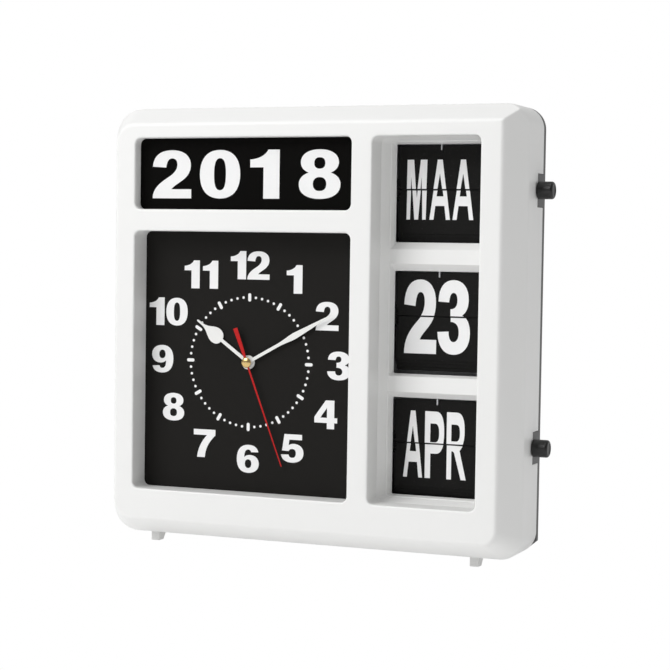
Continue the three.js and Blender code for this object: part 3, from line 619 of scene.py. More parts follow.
def block(bm, low, high, blend=0.0):
    """A box between two corners, with its edges rounded by blend. Returns its corner vertices if blend is 0."""
    low, high = Vector(low), Vector(high)
    verts = bmesh.ops.create_cube(bm, size=1)["verts"]
    bmesh.ops.scale(bm, vec=high - low, verts=verts)
    bmesh.ops.translate(bm, vec=(low + high) / 2, verts=verts)
    if blend:
        edges = list({edge for vert in verts for edge in vert.link_edges})
        bmesh.ops.bevel(
            bm, geom=edges, offset=blend, offset_type="OFFSET", segments=2, profile=0.5, affect="EDGES", material=-1)
    return verts


def combine(bm, tool, operation="DIFFERENCE"):
    """Cuts tool out of bm, or joins it on, and returns the result."""
    works = []
    for part in (bm, tool):
        bmesh.ops.remove_doubles(part, verts=part.verts, dist=WELD)
        bmesh.ops.recalc_face_normals(part, faces=part.faces)
        mesh = bpy.data.meshes.new("work")
        part.to_mesh(mesh)
        part.free()
        works.append(bpy.data.objects.new("work", mesh))
        bpy.context.scene.collection.objects.link(works[-1])
    step = works[0].modifiers.new("combine", "BOOLEAN")
    step.object = works[1]
    step.operation = operation
    step.solver = "EXACT"
    made = bmesh.new()
    made.from_mesh(works[0].evaluated_get(bpy.context.evaluated_depsgraph_get()).data)
    for work in works:
        bpy.data.meshes.remove(work.data)
    return made


def foot(bm, x, front, back, toe, top):
    """A foot that tapers from its back down to its toe."""
    verts = block(bm, (x - FOOT_WIDTH / 2, front, -FOOT_HEIGHT), (x + FOOT_WIDTH / 2, back, top))
    for vert in verts:
        if vert.co.z < 0 and vert.co.y > (front + back) / 2:
            vert.co.y = toe


# ---- Drawing with outlines.
MARKS = re.compile(r"[MLCZ]|-?\d+\.?\d*")
drawn_meshes = {}


def loops_of(outline):
    """The closed loops of an outline, each a list of [point, handle before, handle after]."""
    loops = []
    marks = iter(MARKS.findall(outline))

    def point():
        return Vector((float(next(marks)), float(next(marks)), 0))

    for mark in marks:
        if mark == "M":
            loops.append([[point(), None, None]])
        elif mark == "L":
            loops[-1].append([point(), None, None])
        elif mark == "C":
            loops[-1][-1][2] = point()
            before = point()
            loops[-1].append([point(), before, None])
        elif (loops[-1][0][0] - loops[-1][-1][0]).length < 1e-6:
            loops[-1][0][1] = loops[-1].pop()[1]
    return loops


def drawn(outline, steps):
    """A flat mesh in the x-y plane inside an outline, holes left open."""
    key = (outline, steps)
    if key in drawn_meshes:
        return drawn_meshes[key]
    curve = bpy.data.curves.new("outline", "CURVE")
    curve.dimensions = "2D"
    curve.fill_mode = "BOTH"
    curve.resolution_u = steps
    for loop in loops_of(outline):
        spline = curve.splines.new("BEZIER")
        spline.bezier_points.add(len(loop) - 1)
        spline.use_cyclic_u = True
        for knot, (place, before, after) in zip(spline.bezier_points, loop):
            knot.co = place
            knot.handle_left_type = "FREE" if before else "VECTOR"
            knot.handle_right_type = "FREE" if after else "VECTOR"
            knot.handle_left = before or place
            knot.handle_right = after or place
    work = bpy.data.objects.new("outline", curve)
    bpy.context.scene.collection.objects.link(work)
    graph = bpy.context.evaluated_depsgraph_get()
    drawn_meshes[key] = bpy.data.meshes.new_from_object(work.evaluated_get(graph), depsgraph=graph)
    bpy.data.objects.remove(work)
    bpy.data.curves.remove(curve)
    return drawn_meshes[key]


UPRIGHT = Matrix.Rotation(math.pi / 2, 4, "X")


def upright(outline, matrix, steps=6):
    """An outline's flat mesh, stood up in the x-z plane and placed by matrix."""
    flat = bmesh.new()
    flat.from_mesh(drawn(outline, steps))
    bmesh.ops.remove_doubles(flat, verts=flat.verts, dist=1e-4)
    bmesh.ops.transform(flat, matrix=matrix @ UPRIGHT, verts=flat.verts)
    return flat


def fitted(outline, left, right, bottom, top, y, steps=6):
    """An outline's flat mesh, stretched to fill a rectangle in the plane y."""
    corners = [vert.co for vert in drawn(outline, steps).vertices]
    low_x, high_x = min(c.x for c in corners), max(c.x for c in corners)
    low_z, high_z = min(c.y for c in corners), max(c.y for c in corners)
    wide = (right - left) / (high_x - low_x)
    tall = (top - bottom) / (high_z - low_z)
    move = Matrix.Translation((left - low_x * wide, y, bottom - low_z * tall))
    return upright(outline, move @ Matrix.Diagonal((wide, 1, tall, 1)), steps)


def absorb(bm, other):
    """Moves everything in other into bm."""
    mesh = bpy.data.meshes.new("work")
    other.to_mesh(mesh)
    other.free()
    bm.from_mesh(mesh)
    bpy.data.meshes.remove(mesh)


def thicken(bm, depth, blend=0.0):
    """Gives flat faces a thickness towards +y, and rounds the rims by blend."""
    made = bmesh.ops.extrude_face_region(bm, geom=bm.faces[:])["geom"]
    bmesh.ops.translate(bm, vec=(0, depth, 0), verts=[v for v in made if isinstance(v, bmesh.types.BMVert)])
    bmesh.ops.recalc_face_normals(bm, faces=bm.faces)
    if blend:
        rims = [e for e in bm.edges if len(e.link_faces) == 2 and e.calc_face_angle() > 1.2
                and abs(e.verts[0].co.y - e.verts[1].co.y) < WELD]
        bmesh.ops.bevel(
            bm, geom=rims, offset=blend, offset_type="OFFSET", segments=1, profile=0.5, affect="EDGES",
            clamp_overlap=True, material=-1)


PRINT_LIFT = 0.06 * MM
PRINT_THICKNESS = 0.05 * MM


def lettering(text, left, right, bottom, top, y, between):
    """The flat shapes of a word, its letters side by side across the given width."""
    shares = [NARROW.get(letter, 1.0) for letter in text]
    unit = (right - left - between * (len(text) - 1)) / sum(shares)
    flat = bmesh.new()
    x = left
    for letter, share in zip(text, shares):
        absorb(flat, fitted(GLYPHS[letter], x, x + unit * share, bottom, top, y, 8))
        x += unit * share + between
    return flat


# ---- Pieces.
def corner_radii(inset, less=0.0):
    """The housing's corner radii where its chamfer has come in by inset. The top right corner is a mitre."""
    case = bpy.context.scene.clock_case
    share = min(inset / case.chamfer_in, 1)
    left = case.corner - 6 * MM * share
    low = case.right_corner - 4.5 * MM * share
    mitre = case.right_corner - 3.4 * inset
    return [max(radius - less, 1 * MM) for radius in (left, low, mitre, left)]


def make_housing():
    case = bpy.context.scene.clock_case
    full = Vector((-HALF_WIDTH, HALF_WIDTH, 0, HEIGHT))
    wall, chamfer = case.wall, case.chamfer_in
    slope = case.chamfer_back / chamfer

    def shell(inset, y, less=0.0):
        return station(grown(full, -inset - less), y, *corner_radii(inset, less))

    mitre = 0.28 * case.right_corner
    inner_back = case.chamfer_back + wall * (1 - 1 / slope)
    bm = bmesh.new()
    front, inside = tube(bm, soften([
        shell(chamfer, 0, 1.6 * case.front_blend),
        shell(chamfer, 0),
        shell(mitre, case.chamfer_back - mitre * slope),
        shell(0, case.chamfer_back),
        shell(0, SHELL_DEPTH),
        shell(0, SHELL_DEPTH, wall),
        shell(0, inner_back, wall),
        shell(chamfer, wall, wall),
    ], [case.front_blend, 0.8 * MM, case.side_blend, 0.5 * MM, 0.4 * MM, 2 * MM], 6), 12)
    fronts, insides = [front], [inside]
    for rect, depth in WINDOW_DEPTHS:
        def edge(grow, y):
            return station(grown(rect, grow), y, case.window_corner + grow)

        near, far = tube(bm, soften([
            edge(1.8 * case.window_blend, 0),
            edge(0, 0),
            edge(0, depth),
            edge(FRAME_WALL, depth),
            edge(FRAME_WALL, wall),
        ], [case.window_blend, 0.3 * MM, 0.3 * MM], 5), 8)
        fronts.append(near)
        insides.append(far)
    fill(bm, *fronts)
    fill(bm, *insides)
    feet = bmesh.new()
    for x in FOOT_X:
        foot(feet, x, **FOOT_SHAPE)
    bm = combine(bm, feet, "UNION")
    cutter = bmesh.new()
    for bottom, top in NOTCHES:
        block(cutter, (HALF_WIDTH - 6 * MM, NOTCH_Y, bottom), (HALF_WIDTH + 1 * MM, DEPTH, top))
    bm = combine(bm, cutter)
    holes = bmesh.new()
    axle_pins(holes, 6 * MM)
    piece("case_front", combine(bm, holes), "clock_body", "housing_white", ["front_housing"])


def make_window_insert():
    bm = bmesh.new()
    corner = bpy.context.scene.clock_case.window_corner
    mouth = FLIP_OPENING
    flange = grown(mouth, 2.6 * MM)
    back = Vector((mouth[0] + 1.4 * MM, mouth[1] - 1.7 * MM, mouth[2] + 1.4 * MM, mouth[3] - 1.4 * MM))
    land = Vector((49.8 * MM, 112.5 * MM, 33.4 * MM, 254.2 * MM))
    rear, face = tube(bm, soften([
        station(back, EDGE_Y, 2 * MM),
        station(flange, INSERT_Y, 3 * MM),
        station(mouth, INSERT_Y, corner),
        station(land, RIDGE_Y, 2 * MM),
    ], [0.1 * MM, 0.35 * MM], 3), 6)
    rears, faces = [rear], [face]
    lip = 0.35 * MM
    for unit in UNITS.values():
        ridge = Vector((*RIDGE_X, *unit["ridge"]))
        edge = Vector((*EDGE_X, *unit["edge"]))
        near, far = tube(bm, soften([
            station(grown(ridge, lip), RIDGE_Y, 1.6 * MM),
            station(ridge, RIDGE_Y, 1.2 * MM),
            station(edge, EDGE_Y, 0.8 * MM),
            station(grown(edge, lip), EDGE_Y, 1.1 * MM),
        ], [0.9 * lip, 0.12 * MM], 3), 6)
        faces.append(near)
        rears.append(far)
    fill(bm, *faces)
    fill(bm, *rears)
    piece("window_insert", bm, "clock_body", "housing_white", ["flip_bezel"])


def make_back_cover():
    case = bpy.context.scene.clock_case
    full = Vector((-HALF_WIDTH, HALF_WIDTH, COVER_BOTTOM, HEIGHT))

    def outline(inset, y):
        radii = (COVER_LOW_CORNER, COVER_LOW_CORNER, case.right_corner, case.corner)
        return station(grown(full, -inset), y, *(max(radius - inset, LEAST_CORNER) for radius in radii))

    rim = SHELL_DEPTH + GAP
    panel = DEPTH - COVER_WALL
    groove = 8 * MM
    bm = bmesh.new()
    inner, back = tube(bm, soften([
        outline(COVER_WALL, panel),
        outline(COVER_WALL, rim),
        outline(0, rim),
        outline(0, DEPTH),
        outline(groove, DEPTH),
        outline(groove + 0.5 * MM, DEPTH - 0.5 * MM),
        outline(groove + 1.3 * MM, DEPTH - 0.5 * MM),
        outline(groove + 1.8 * MM, DEPTH),
        outline(groove + 3 * MM, DEPTH),
    ], [0.3 * MM, 0.3 * MM, 1.8 * MM, 0.2 * MM, 0.1 * MM, 0.1 * MM, 0.2 * MM], 4), 12)
    fill(bm, inner)
    fill(bm, back)
    joined = bmesh.new()
    for bottom, top in NOTCHES:
        low = (HALF_WIDTH - COVER_WALL + GAP, NOTCH_Y + GAP, bottom + GAP)
        block(joined, low, (HALF_WIDTH, panel + 1 * MM, top - GAP))
    for x in REAR_FOOT_X:
        foot(joined, x, **REAR_FOOT_SHAPE)
    bm = combine(bm, joined, "UNION")
    through = (panel - 1 * MM, DEPTH + 1 * MM)
    holes = bmesh.new()
    axle_pins(holes, 5 * MM)
    seat = DEPTH - SCREW_SEAT
    sunk = [(through[0], 0), (through[0], SCREW_BORE), (seat, SCREW_BORE), (seat, SCREW_SINK),
            (through[1], SCREW_SINK), (through[1], 0)]
    for x, z in COVER_SCREWS:
        turned(holes, sunk, "Y", Vector((x * MM, 0, z * MM)), 32)
    for x in KEYHOLES_X:
        pin(holes, *through, KEYHOLE_ENTRY, "Y", Vector((x, 0, KEYHOLE_Z)), 40)
    bm = combine(bm, holes)
    slots = bmesh.new()
    for x in KEYHOLES_X:
        block(slots, (x - 2.3 * MM, through[0], KEYHOLE_Z), (x + 2.3 * MM, through[1], KEYHOLE_Z + 11 * MM))
    block(slots, (DOOR[0], through[0], DOOR[2]), (DOOR[1], through[1], DOOR[3]))
    thumb = (DOOR[0] + DOOR[1]) / 2
    low = (thumb - 9 * MM, DEPTH - 1.2 * MM, DOOR[3] + 0.5 * MM)
    block(slots, low, (thumb + 9 * MM, through[1], DOOR[3] + 7 * MM))
    cut = bmesh.new()
    reach = 20 * MM
    block(cut, (0, 0, -reach), (2 * reach, reach, 0))
    lean = Matrix.Rotation(-case.corner_cut, 4, "Y")
    place = Matrix.Translation((HALF_WIDTH, rim - 1 * MM, CUT_START))
    bmesh.ops.transform(cut, matrix=place @ lean @ Matrix.Translation((-reach, 0, 0)), verts=cut.verts)
    bm = combine(bm, cut)
    piece("case_back", combine(bm, slots), "clock_body", "cover_black", ["back_cover"])


def make_battery_door():
    left, right = DOOR[0] + GAP, DOOR[1] - GAP
    hinge_z = DOOR[2] + GAP + DOOR_THICKNESS / 2
    top = DOOR[3] - GAP - 0.1 * MM
    hinge = Vector((0, DEPTH - DOOR_THICKNESS / 2, hinge_z))
    bm = bmesh.new()
    block(bm, (left, DEPTH - DOOR_THICKNESS, hinge_z), (right, DEPTH, top), 0.3 * MM)
    barrel = bmesh.new()
    radius = DOOR_THICKNESS / 2 - 0.02 * MM
    pin = 0.6 * MM
    turned(barrel, [
        (left - 2 * MM, 0), (left - 2 * MM, pin), (left, pin), (left, radius),
        (right, radius), (right, pin), (right + 2 * MM, pin), (right + 2 * MM, 0)], "X", hinge, 24)
    bm = combine(bm, barrel, "UNION")
    grooves = bmesh.new()
    middle = (left + right) / 2
    for i in range(6):
        z = top - 8 * MM - i * 2.4 * MM
        block(grooves, (middle - 12 * MM, DEPTH - 0.6 * MM, z), (middle + 12 * MM, DEPTH + 1 * MM, z + 1.1 * MM))
    piece("door_panel", combine(bm, grooves), "door", "cover_black", ["battery_door"])


def make_cover_screws():
    for i, (x, z) in enumerate(COVER_SCREWS, 1):
        bm = bmesh.new()
        profile = soften(points((38, 0), (38.8, 1.25), (55.5, 1.25), (55.5, 3.2), (56.2, 3.2), (56.6, 0)), 0.25 * MM)
        turned(bm, profile, "Y", Vector((x * MM, 0, z * MM)), 32)
        bars = [bmesh.new(), bmesh.new()]
        for bar, (wide, tall) in zip(bars, ((1.9, 0.45), (0.45, 1.9))):
            block(bar, ((x - wide) * MM, 55.8 * MM, (z - tall) * MM), ((x + wide) * MM, 57 * MM, (z + tall) * MM))
        recess = combine(*bars, "UNION")
        piece(f"case_screw_{i}", combine(bm, recess), "clock_body", "steel", [f"cover_screw_{i}"])


def make_dial_print():
    dial = bpy.context.scene.clock_dial
    y = DIAL_Y - PRINT_LIFT
    bm = bmesh.new()
    half = dial.numeral_height / 2
    nudges = {10: (-4.3 * MM, 0), 11: (-3.6 * MM, 1.8 * MM)}
    gaps = {10: 1.3 * MM, 11: 2.3 * MM, 12: 0.9 * MM}
    for hour in range(1, 13):
        angle = math.radians(30 * hour)
        across, up = nudges.get(hour, (0, 0))
        x = DIAL_X + dial.numeral_radius * math.sin(angle) + across
        z = DIAL_Z + dial.numeral_radius * math.cos(angle) + up
        text = str(hour)
        between = gaps.get(hour, 0)
        wide = sum(NARROW.get(c, 1.0) for c in text) * dial.numeral_width + between * (len(text) - 1)
        absorb(bm, lettering(text, x - wide / 2, x + wide / 2, z - half, z + half, y, between))
    for minute in range(60):
        turn = Matrix.Translation((DIAL_X, y, DIAL_Z)) @ Matrix.Rotation(math.radians(6 * minute), 4, "Y")
        mark = bmesh.new()
        if minute % 5:
            at = turn @ Matrix.Translation((0, 0, dial.track_radius)) @ UPRIGHT
            bmesh.ops.create_circle(mark, cap_ends=True, segments=20, radius=dial.dot_radius, matrix=at)
        else:
            wide, tall = dial.bar_width / 2, dial.bar_length / 2
            rect = (-wide, wide, dial.track_radius - tall, dial.track_radius + tall)
            fill(mark, ring(mark, outline_of(station(rect, 0, wide * 0.98), 8))[1])
            bmesh.ops.transform(mark, matrix=turn, verts=mark.verts)
        absorb(bm, mark)
    thicken(bm, PRINT_THICKNESS)
    piece("dial_numerals", bm, "clock_body", "hand_white", material="ink_white", even=False)


def make_year_print():
    y = YEAR_Y - PRINT_LIFT
    bottom, top = 217.9 * MM, 248.6 * MM
    spans = ((-107.3, -79.7), (-73.6, -45.3), (-38.4, -18.2), (-5.0, 23.0))
    bm = bmesh.new()
    for digit, (left, right) in zip(bpy.context.scene.clock_calendar.year, spans):
        absorb(bm, fitted(GLYPHS[digit], left * MM, right * MM, bottom, top, y, 10))
    thicken(bm, PRINT_THICKNESS)
    piece("year_digits", bm, "clock_body", "hand_white", material="ink_white", even=False)


def hand(outline, y, thickness, angle, hub, blend):
    """A flat hand turned clockwise to its angle, with its hub's (y, radius) profile."""
    about = Matrix.Translation((DIAL_X, y, DIAL_Z)) @ Matrix.Rotation(math.radians(angle), 4, "Y")
    bm = upright(outline, about @ Matrix.Diagonal((MM, 1, MM, 1)), 10)
    thicken(bm, thickness, blend)
    boss = bmesh.new()
    turned(boss, hub, "Y", Vector((DIAL_X, 0, DIAL_Z)), 48)
    return combine(bm, boss, "UNION")


def make_hands():
    hour_hub = soften(points(
        (15.75, 2.3), (15.75, 4.5), (16.6, 4.5), (16.6, 2.9), (22, 2.9), (22, 2.3), (15.75, 2.3)), 0.2 * MM)
    minute_hub = soften(points(
        (14.55, 1.2), (14.55, 3.4), (15.3, 3.4), (15.3, 2), (23, 2), (23, 1.2), (14.55, 1.2)), 0.15 * MM)
    second_hub = soften(points((13.4, 0), (13.4, 1.9), (14.1, 1.9), (14.1, 0.9), (24, 0.9), (24, 0)), 0.12 * MM)
    hour = hand(HOUR_HAND, 15.9 * MM, 0.4 * MM, HOUR_ANGLE, hour_hub, 0.07 * MM)
    piece("hour_pointer", hour, "hour_hand_body", "hand_white", ["hour_hand"])
    minute = hand(MINUTE_HAND, 14.7 * MM, 0.4 * MM, MINUTE_ANGLE, minute_hub, 0.07 * MM)
    piece("minute_pointer", minute, "minute_hand_body", "hand_white", ["minute_hand"])
    second = hand(SECOND_HAND, 13.6 * MM, 0.3 * MM, SECOND_ANGLE, second_hub, 0.05 * MM)
    piece("second_pointer", second, "second_hand_body", "hand_red", ["second_hand"])
    cap = bmesh.new()
    dome = soften(points((11.9, 0), (12.0, 1.5), (12.5, 2.9), (12.9, 3.3), (13.2, 3.3), (13.2, 0)), 0.5 * MM)
    turned(cap, dome, "Y", Vector((DIAL_X, 0, DIAL_Z)), 48)
    piece("brass_cap", cap, "second_hand_body", "brass", ["centre_cap"])


def leaf(outline, split, y, thickness=LEAF_THICKNESS, drop=0.0):
    """One leaf standing on its hinge line, its front face half a thickness before y."""
    place = Matrix.Translation((LEAF_X, y - thickness / 2, split - drop))
    bm = upright(outline, place @ Matrix.Diagonal((MM, 1, MM, 1)), 6)
    thicken(bm, thickness, 0.07 * MM)
    return bm


def half_print(flat, split, upper):
    """Keeps the half of some flat lettering on one side of the hinge line, and gives it its thickness."""
    clearance = 0.5 * MM
    level = split + clearance if upper else split - clearance
    bmesh.ops.bisect_plane(
        flat, geom=flat.verts[:] + flat.edges[:] + flat.faces[:], dist=1e-7, plane_co=(0, 0, level),
        plane_no=(0, 0, 1), clear_inner=upper, clear_outer=not upper)
    thicken(flat, PRINT_THICKNESS)
    return flat


# Lettering places on the leaves, in millimetres: the word's left and right, bottom and top, and letter gap.
WORD_PLACES = {
    "weekday": (58.2, 101.7, 206.0, 243.0, 1.6),
    "date": (58.0, 100.9, 122.9, 169.0, 0.7),
    "month": (58.7, 99.9, 45.5, 87.3, 1.6),
}


def word(unit, text, y):
    left, right, bottom, top, between = (value * MM for value in WORD_PLACES[unit])
    return lettering(text, left, right, bottom, top, y, between)


def make_flip_unit(name):
    split = UNITS[name]["split"]
    calendar = bpy.context.scene.clock_calendar
    shown = getattr(calendar, name)
    following = getattr(calendar, "next_" + name)
    front = LEAF_Y - LEAF_THICKNESS / 2 - PRINT_LIFT
    behind = BACK_LEAF_Y - LEAF_THICKNESS / 2 - PRINT_LIFT
    flip = f"{name}_flip"
    for label, outline, y, body, node in (
            ("falling", UPPER_LEAF, LEAF_Y, flip, "upper_leaf"),
            ("next", UPPER_LEAF, BACK_LEAF_Y, "clock_body", "next_leaf"),
            ("below", LOWER_LEAF, BACK_LEAF_Y, "clock_body", "lower_leaf")):
        piece(f"{name}_leaf_{label}", leaf(outline, split, y), body, "leaf_black", [f"{name}_{node}"])
    stack = bmesh.new()
    for i in range(6):
        y = STACK_Y + i * STACK_STEP / 2 + 0.13 * MM
        drop = 1.9 * MM + (i // 2) * STACK_DROP + (i % 2) * 0.3 * MM
        absorb(stack, leaf(LOWER_LEAF, split, y, 0.24 * MM, drop))
    piece(f"{name}_leaf_stack", stack, "clock_body", "leaf_black", [f"{name}_fallen_leaves"])
    ink = {"slot": "hand_white", "material": "ink_white", "even": False}
    piece(f"{name}_print_upper", half_print(word(name, shown, front), split, True), flip, **ink)
    piece(f"{name}_print_lower", half_print(word(name, shown, behind), split, False), "clock_body", **ink)
    piece(f"{name}_print_next", half_print(word(name, following, behind), split, True), "clock_body", **ink)
    turned_over = half_print(word(name, following, front), split, False)
    about = Vector((0, LEAF_Y, split))
    bmesh.ops.rotate(turned_over, cent=about, matrix=Matrix.Rotation(math.pi, 3, "X"), verts=turned_over.verts)
    piece(f"{name}_print_back", turned_over, flip, **ink)


def make_knobs():
    near, far = (x / MM for x in KNOB_X)
    radius = KNOB_RADIUS / MM
    bore = AXLE_RADIUS / MM + 0.3
    for name, unit, body in (("upper", "weekday", "weekday_reel"), ("lower", "month", "month_reel")):
        profile = soften(points(
            (far - 3.7, 0), (far - 3.7, bore), (near, bore), (near, radius - 0.3), (near + 0.6, radius),
            (far - 0.9, radius), (far, radius - 0.9), (far, radius - 1.8), (far - 0.45, radius - 2.5),
            (far - 0.6, 0)), 0.6 * MM, 5)
        bm = bmesh.new()
        turned(bm, profile, "X", Vector((0, SPOOL_Y, UNITS[unit]["split"])), 64)
        piece(f"knob_{name}", bm, body, "knob_black", [f"{name}_knob"])


def make_set_wheel():
    low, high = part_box("time_set_wheel")
    centre = (low + high) / 2 - ORIGIN
    radius = (high.x - low.x) / 2
    back = high.y - ORIGIN.y
    bm = bmesh.new()
    turned(bm, soften(vectors(
        (back - 7.4 * MM, 0), (back - 7.4 * MM, 1.5 * MM), (back - 3 * MM, 1.5 * MM), (back - 3 * MM, radius),
        (back, radius), (back, radius - 1.2 * MM), (back - 0.5 * MM, radius - 1.8 * MM),
        (back - 0.5 * MM, 0)), 0.25 * MM), "Y", Vector((centre.x, 0, centre.z)), 96)
    for vert in bm.verts:
        out = Vector((vert.co.x - centre.x, vert.co.z - centre.z))
        tooth = round(math.degrees(out.angle_signed(Vector((1, 0)), 0)) / 3.75) % 4
        if out.length > radius - 0.7 * MM and tooth > 1:
            vert.co.x -= out.x * 0.045
            vert.co.z -= out.y * 0.045
    piece("set_wheel", bm, "set_wheel_body", "works_black", ["time_set_wheel"])


def make_cells():
    """The two dry cells, each a wrapped can with bare metal ends."""
    for name in ("aa_cell", "calendar_cell"):
        low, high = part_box(name)
        low, high = low - ORIGIN, high - ORIGIN
        centre = Vector((0, (low.y + high.y) / 2, (low.z + high.z) / 2))
        radius = (high.y - low.y) / 2
        start, end = low.x, high.x
        nub = radius * 0.33
        can = bmesh.new()
        turned(can, soften(vectors(
            (start + 0.6 * MM, 0), (start + 0.6 * MM, radius * 0.86), (start + 0.2 * MM, radius * 0.9),
            (start + 0.2 * MM, radius), (end - 1.4 * MM, radius), (end - 1.4 * MM, radius * 0.88),
            (end - 1.8 * MM, 0)), 0.4 * MM), "X", centre)
        piece(f"{name}_can", can, "clock_body", "cell_wrap", [name])
        ends = bmesh.new()
        turned(ends, soften(vectors(
            (start + 0.4 * MM, 0), (start, radius * 0.5), (start + 0.5 * MM, radius * 0.84),
            (start + 0.58 * MM, 0)), 0.1 * MM), "X", centre)
        turned(ends, soften(vectors(
            (end - 1.7 * MM, 0), (end - 1.3 * MM, radius * 0.84), (end - 1.2 * MM, nub * 1.3), (end, nub),
            (end, 0)), 0.2 * MM), "X", centre)
        piece(f"{name}_ends", ends, "clock_body", "steel")


def finish_frame_nodes():
    """Gives every CAD node the finish of its slot, and the year card a darker one."""
    for part in frame["record"]["subparts"]:
        node = frame["nodes"][part["node"]]
        node.data.materials.clear()
        node.data.materials.append(finish(part["material_slot"]))
    card = frame["nodes"]["year_card"].data.materials
    card.clear()
    card.append(matt_card("year_black", 0.3))


# ---- Stage.
CAMERA_PLACE = Vector((439.79, -1061.06, 195.52)) * MM
CAMERA_TURN = (math.radians(-22.17), math.radians(-2.81), math.radians(0.84))
FOCAL_LENGTH = 97.6
SENSOR = 36.0


def make_camera():
    yaw, pitch, roll = CAMERA_TURN
    ahead = Vector((math.sin(yaw) * math.cos(pitch), math.cos(yaw) * math.cos(pitch), math.sin(pitch)))
    right = Vector((math.cos(yaw), -math.sin(yaw), 0))
    up = right.cross(ahead)
    side = right * math.cos(roll) + up * math.sin(roll)
    over = up * math.cos(roll) - right * math.sin(roll)
    lens = bpy.data.cameras.new("camera")
    lens.lens = FOCAL_LENGTH
    lens.sensor_width = SENSOR
    lens.clip_start = 0.05
    lens.clip_end = 60
    camera = bpy.data.objects.new("camera", lens)
    axes = Matrix((side, over, -ahead)).transposed().to_4x4()
    camera.matrix_world = Matrix.Translation(CAMERA_PLACE) @ axes
    bpy.context.scene.collection.objects.link(camera)
    bpy.context.scene.camera = camera


def make_light(name, power, size, place, target):
    light = bpy.data.lights.new(name, "AREA")
    light.energy = power
    light.shape = "RECTANGLE"
    light.size, light.size_y = size
    lamp = bpy.data.objects.new(name, light)
    lamp.location = place
    lamp.rotation_mode = "QUATERNION"
    lamp.rotation_quaternion = (Vector(target) - Vector(place)).to_track_quat("-Z", "Y")
    bpy.context.scene.collection.objects.link(lamp)


def show_plain(tree, kind, colour, output):
    """Lets the camera see one even colour where the light from a background or a floor goes on unchanged."""
    light = output.inputs["Surface"].links[0].from_socket
    seen = tree.nodes.new("ShaderNode" + kind)
    seen.inputs["Color"].default_value = (*colour, 1)
    path = tree.nodes.new("ShaderNodeLightPath")
    mix = tree.nodes.new("ShaderNodeMixShader")
    tree.links.new(path.outputs["Is Camera Ray"], mix.inputs[0])
    tree.links.new(light, mix.inputs[1])
    tree.links.new(seen.outputs[0], mix.inputs[2])
    tree.links.new(mix.outputs[0], output.inputs["Surface"])


def make_world(strength, background):
    """The background colour behind the clock, and a light on it that is a little brighter from behind."""
    world = bpy.data.worlds.new("surroundings")
    world.use_nodes = True
    tree = world.node_tree
    direction = tree.nodes.new("ShaderNodeTexCoord")
    split = tree.nodes.new("ShaderNodeSeparateXYZ")
    level = tree.nodes.new("ShaderNodeMath")
    level.operation = "MULTIPLY_ADD"
    level.inputs[1].default_value = 0.2
    level.inputs[2].default_value = strength
    tree.links.new(direction.outputs["Generated"], split.inputs[0])
    tree.links.new(split.outputs["Y"], level.inputs[0])
    even = tree.nodes["Background"]
    even.inputs["Color"].default_value = (1, 1, 1, 1)
    tree.links.new(level.outputs[0], even.inputs["Strength"])
    show_plain(tree, "Background", background, tree.nodes["World Output"])
    bpy.context.scene.world = world


def make_floor(colour):
    """A plain pale floor that runs into the background."""
    bm = bmesh.new()
    bmesh.ops.create_circle(bm, cap_ends=True, segments=64, radius=12)
    mesh = bpy.data.meshes.new("floor")
    bm.to_mesh(mesh)
    bm.free()
    shader = Shader("floor_paper", Specular_IOR_Level=0.1, Emission_Strength=0.24)
    shader.give("Emission Color", (1, 1, 1))
    shader.give("Base Color", (0.8, 0.8, 0.8))
    shader.give("Roughness", 0.7 + 0.1 * shader.noise(30))
    show_plain(shader.tree, "Emission", colour, shader.tree.nodes["Material Output"])
    mesh.materials.append(shader.material)
    floor = bpy.data.objects.new("floor", mesh)
    floor.location.z = CAD_BOUNDS[0].z
    bpy.context.scene.collection.objects.link(floor)


# ---- Operators.
class CLOCK_OT_housing(bpy.types.Operator):
    """Make the white front housing"""
    bl_idname = "clock.housing"
    bl_label = "Front housing"

    def execute(self, context):
        make_housing()
        return {"FINISHED"}


class CLOCK_OT_window_insert(bpy.types.Operator):
    """Make the insert that frames the three leaf windows"""
    bl_idname = "clock.window_insert"
    bl_label = "Window insert"

    def execute(self, context):
        make_window_insert()
        return {"FINISHED"}


class CLOCK_OT_back_cover(bpy.types.Operator):
    """Make the back cover, its door and its screws"""
    bl_idname = "clock.back_cover"
    bl_label = "Back cover"

    def execute(self, context):
        make_back_cover()
        make_battery_door()
        make_cover_screws()
        return {"FINISHED"}


class CLOCK_OT_prints(bpy.types.Operator):
    """Print the dial and the year card"""
    bl_idname = "clock.prints"
    bl_label = "Dial and year print"

    def execute(self, context):
        make_dial_print()
        make_year_print()
        return {"FINISHED"}


class CLOCK_OT_hands(bpy.types.Operator):
    """Make the three hands and the brass cap"""
    bl_idname = "clock.hands"
    bl_label = "Hands"

    def execute(self, context):
        make_hands()
        return {"FINISHED"}


class CLOCK_OT_flip_units(bpy.types.Operator):
    """Make the printed leaves of the three flip units"""
    bl_idname = "clock.flip_units"
    bl_label = "Flip units"

    def execute(self, context):
        for name in UNITS:
            make_flip_unit(name)
        return {"FINISHED"}


class CLOCK_OT_knobs(bpy.types.Operator):
    """Make the two side knobs"""
    bl_idname = "clock.knobs"
    bl_label = "Knobs"

    def execute(self, context):
        make_knobs()
        return {"FINISHED"}


class CLOCK_OT_works(bpy.types.Operator):
    """Make the setting wheel and the cells, and finish the other works"""
    bl_idname = "clock.works"
    bl_label = "Works"

    def execute(self, context):
        make_set_wheel()
        make_cells()
        finish_frame_nodes()
        return {"FINISHED"}


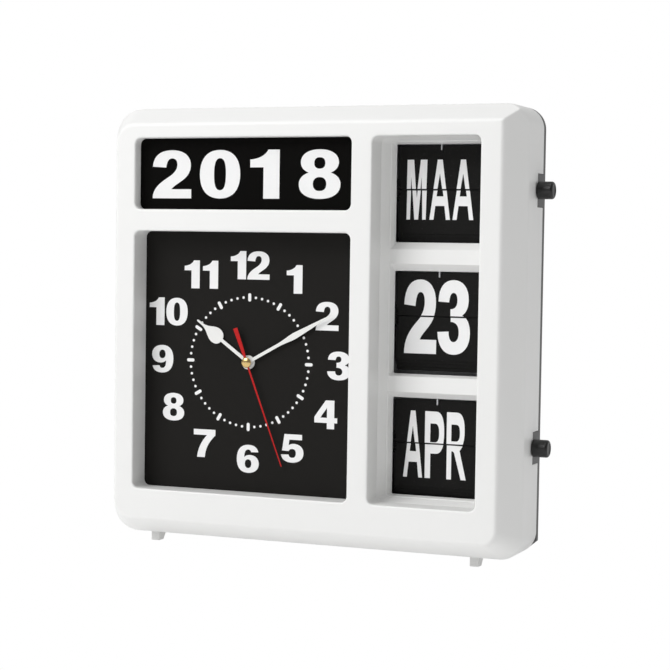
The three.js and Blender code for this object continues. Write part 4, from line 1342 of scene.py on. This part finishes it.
class CLOCK_OT_stage(bpy.types.Operator):
    """Make the floor, the surroundings, the lights and the camera"""
    bl_idname = "clock.stage"
    bl_label = "Stage"

    def execute(self, context):
        stage = context.scene.clock_stage
        make_camera()
        make_floor(stage.background)
        make_world(stage.sky, stage.background)
        make_light("key", stage.key, (1.4, 1.4), (-1.1, -1.7, 1.5), (0, 0, 0.14))
        make_light("top", stage.top, (1.2, 0.8), (-0.1, -0.3, 1.7), (0, 0, 0.14))
        context.scene.view_settings.view_transform = "Standard"
        return {"FINISHED"}


class CLOCK_PT_panel(bpy.types.Panel):
    """The clock's settings and pieces"""
    bl_idname = "CLOCK_PT_panel"
    bl_label = "Flip calendar clock"
    bl_space_type = "VIEW_3D"
    bl_region_type = "UI"
    bl_category = "Clock"

    def draw(self, context):
        layout = self.layout
        for group in SETTINGS:
            settings = getattr(context.scene, group)
            for key in settings.__annotations__:
                layout.prop(settings, key)
        for operator in OPERATORS:
            layout.operator(operator.bl_idname)


SETTINGS = {
    "clock_case": CaseSettings,
    "clock_dial": DialSettings,
    "clock_calendar": CalendarSettings,
    "clock_finish": FinishSettings,
    "clock_stage": StageSettings,
}
OPERATORS = (
    CLOCK_OT_housing,
    CLOCK_OT_window_insert,
    CLOCK_OT_back_cover,
    CLOCK_OT_prints,
    CLOCK_OT_hands,
    CLOCK_OT_flip_units,
    CLOCK_OT_knobs,
    CLOCK_OT_works,
    CLOCK_OT_stage,
)


def register():
    for group, settings in SETTINGS.items():
        bpy.utils.register_class(settings)
        setattr(bpy.types.Scene, group, bpy.props.PointerProperty(type=settings))
    for cls in (*OPERATORS, CLOCK_PT_panel):
        bpy.utils.register_class(cls)


def unregister():
    for cls in (CLOCK_PT_panel, *reversed(OPERATORS)):
        bpy.utils.unregister_class(cls)
    for group, settings in SETTINGS.items():
        delattr(bpy.types.Scene, group)
        bpy.utils.unregister_class(settings)


def main():
    register()
    bpy.ops.clock.housing()
    bpy.ops.clock.window_insert()
    bpy.ops.clock.back_cover()
    bpy.ops.clock.prints()
    bpy.ops.clock.hands()
    bpy.ops.clock.flip_units()
    bpy.ops.clock.knobs()
    bpy.ops.clock.works()
    bpy.ops.clock.stage()


if __name__ == "__main__":
    main()
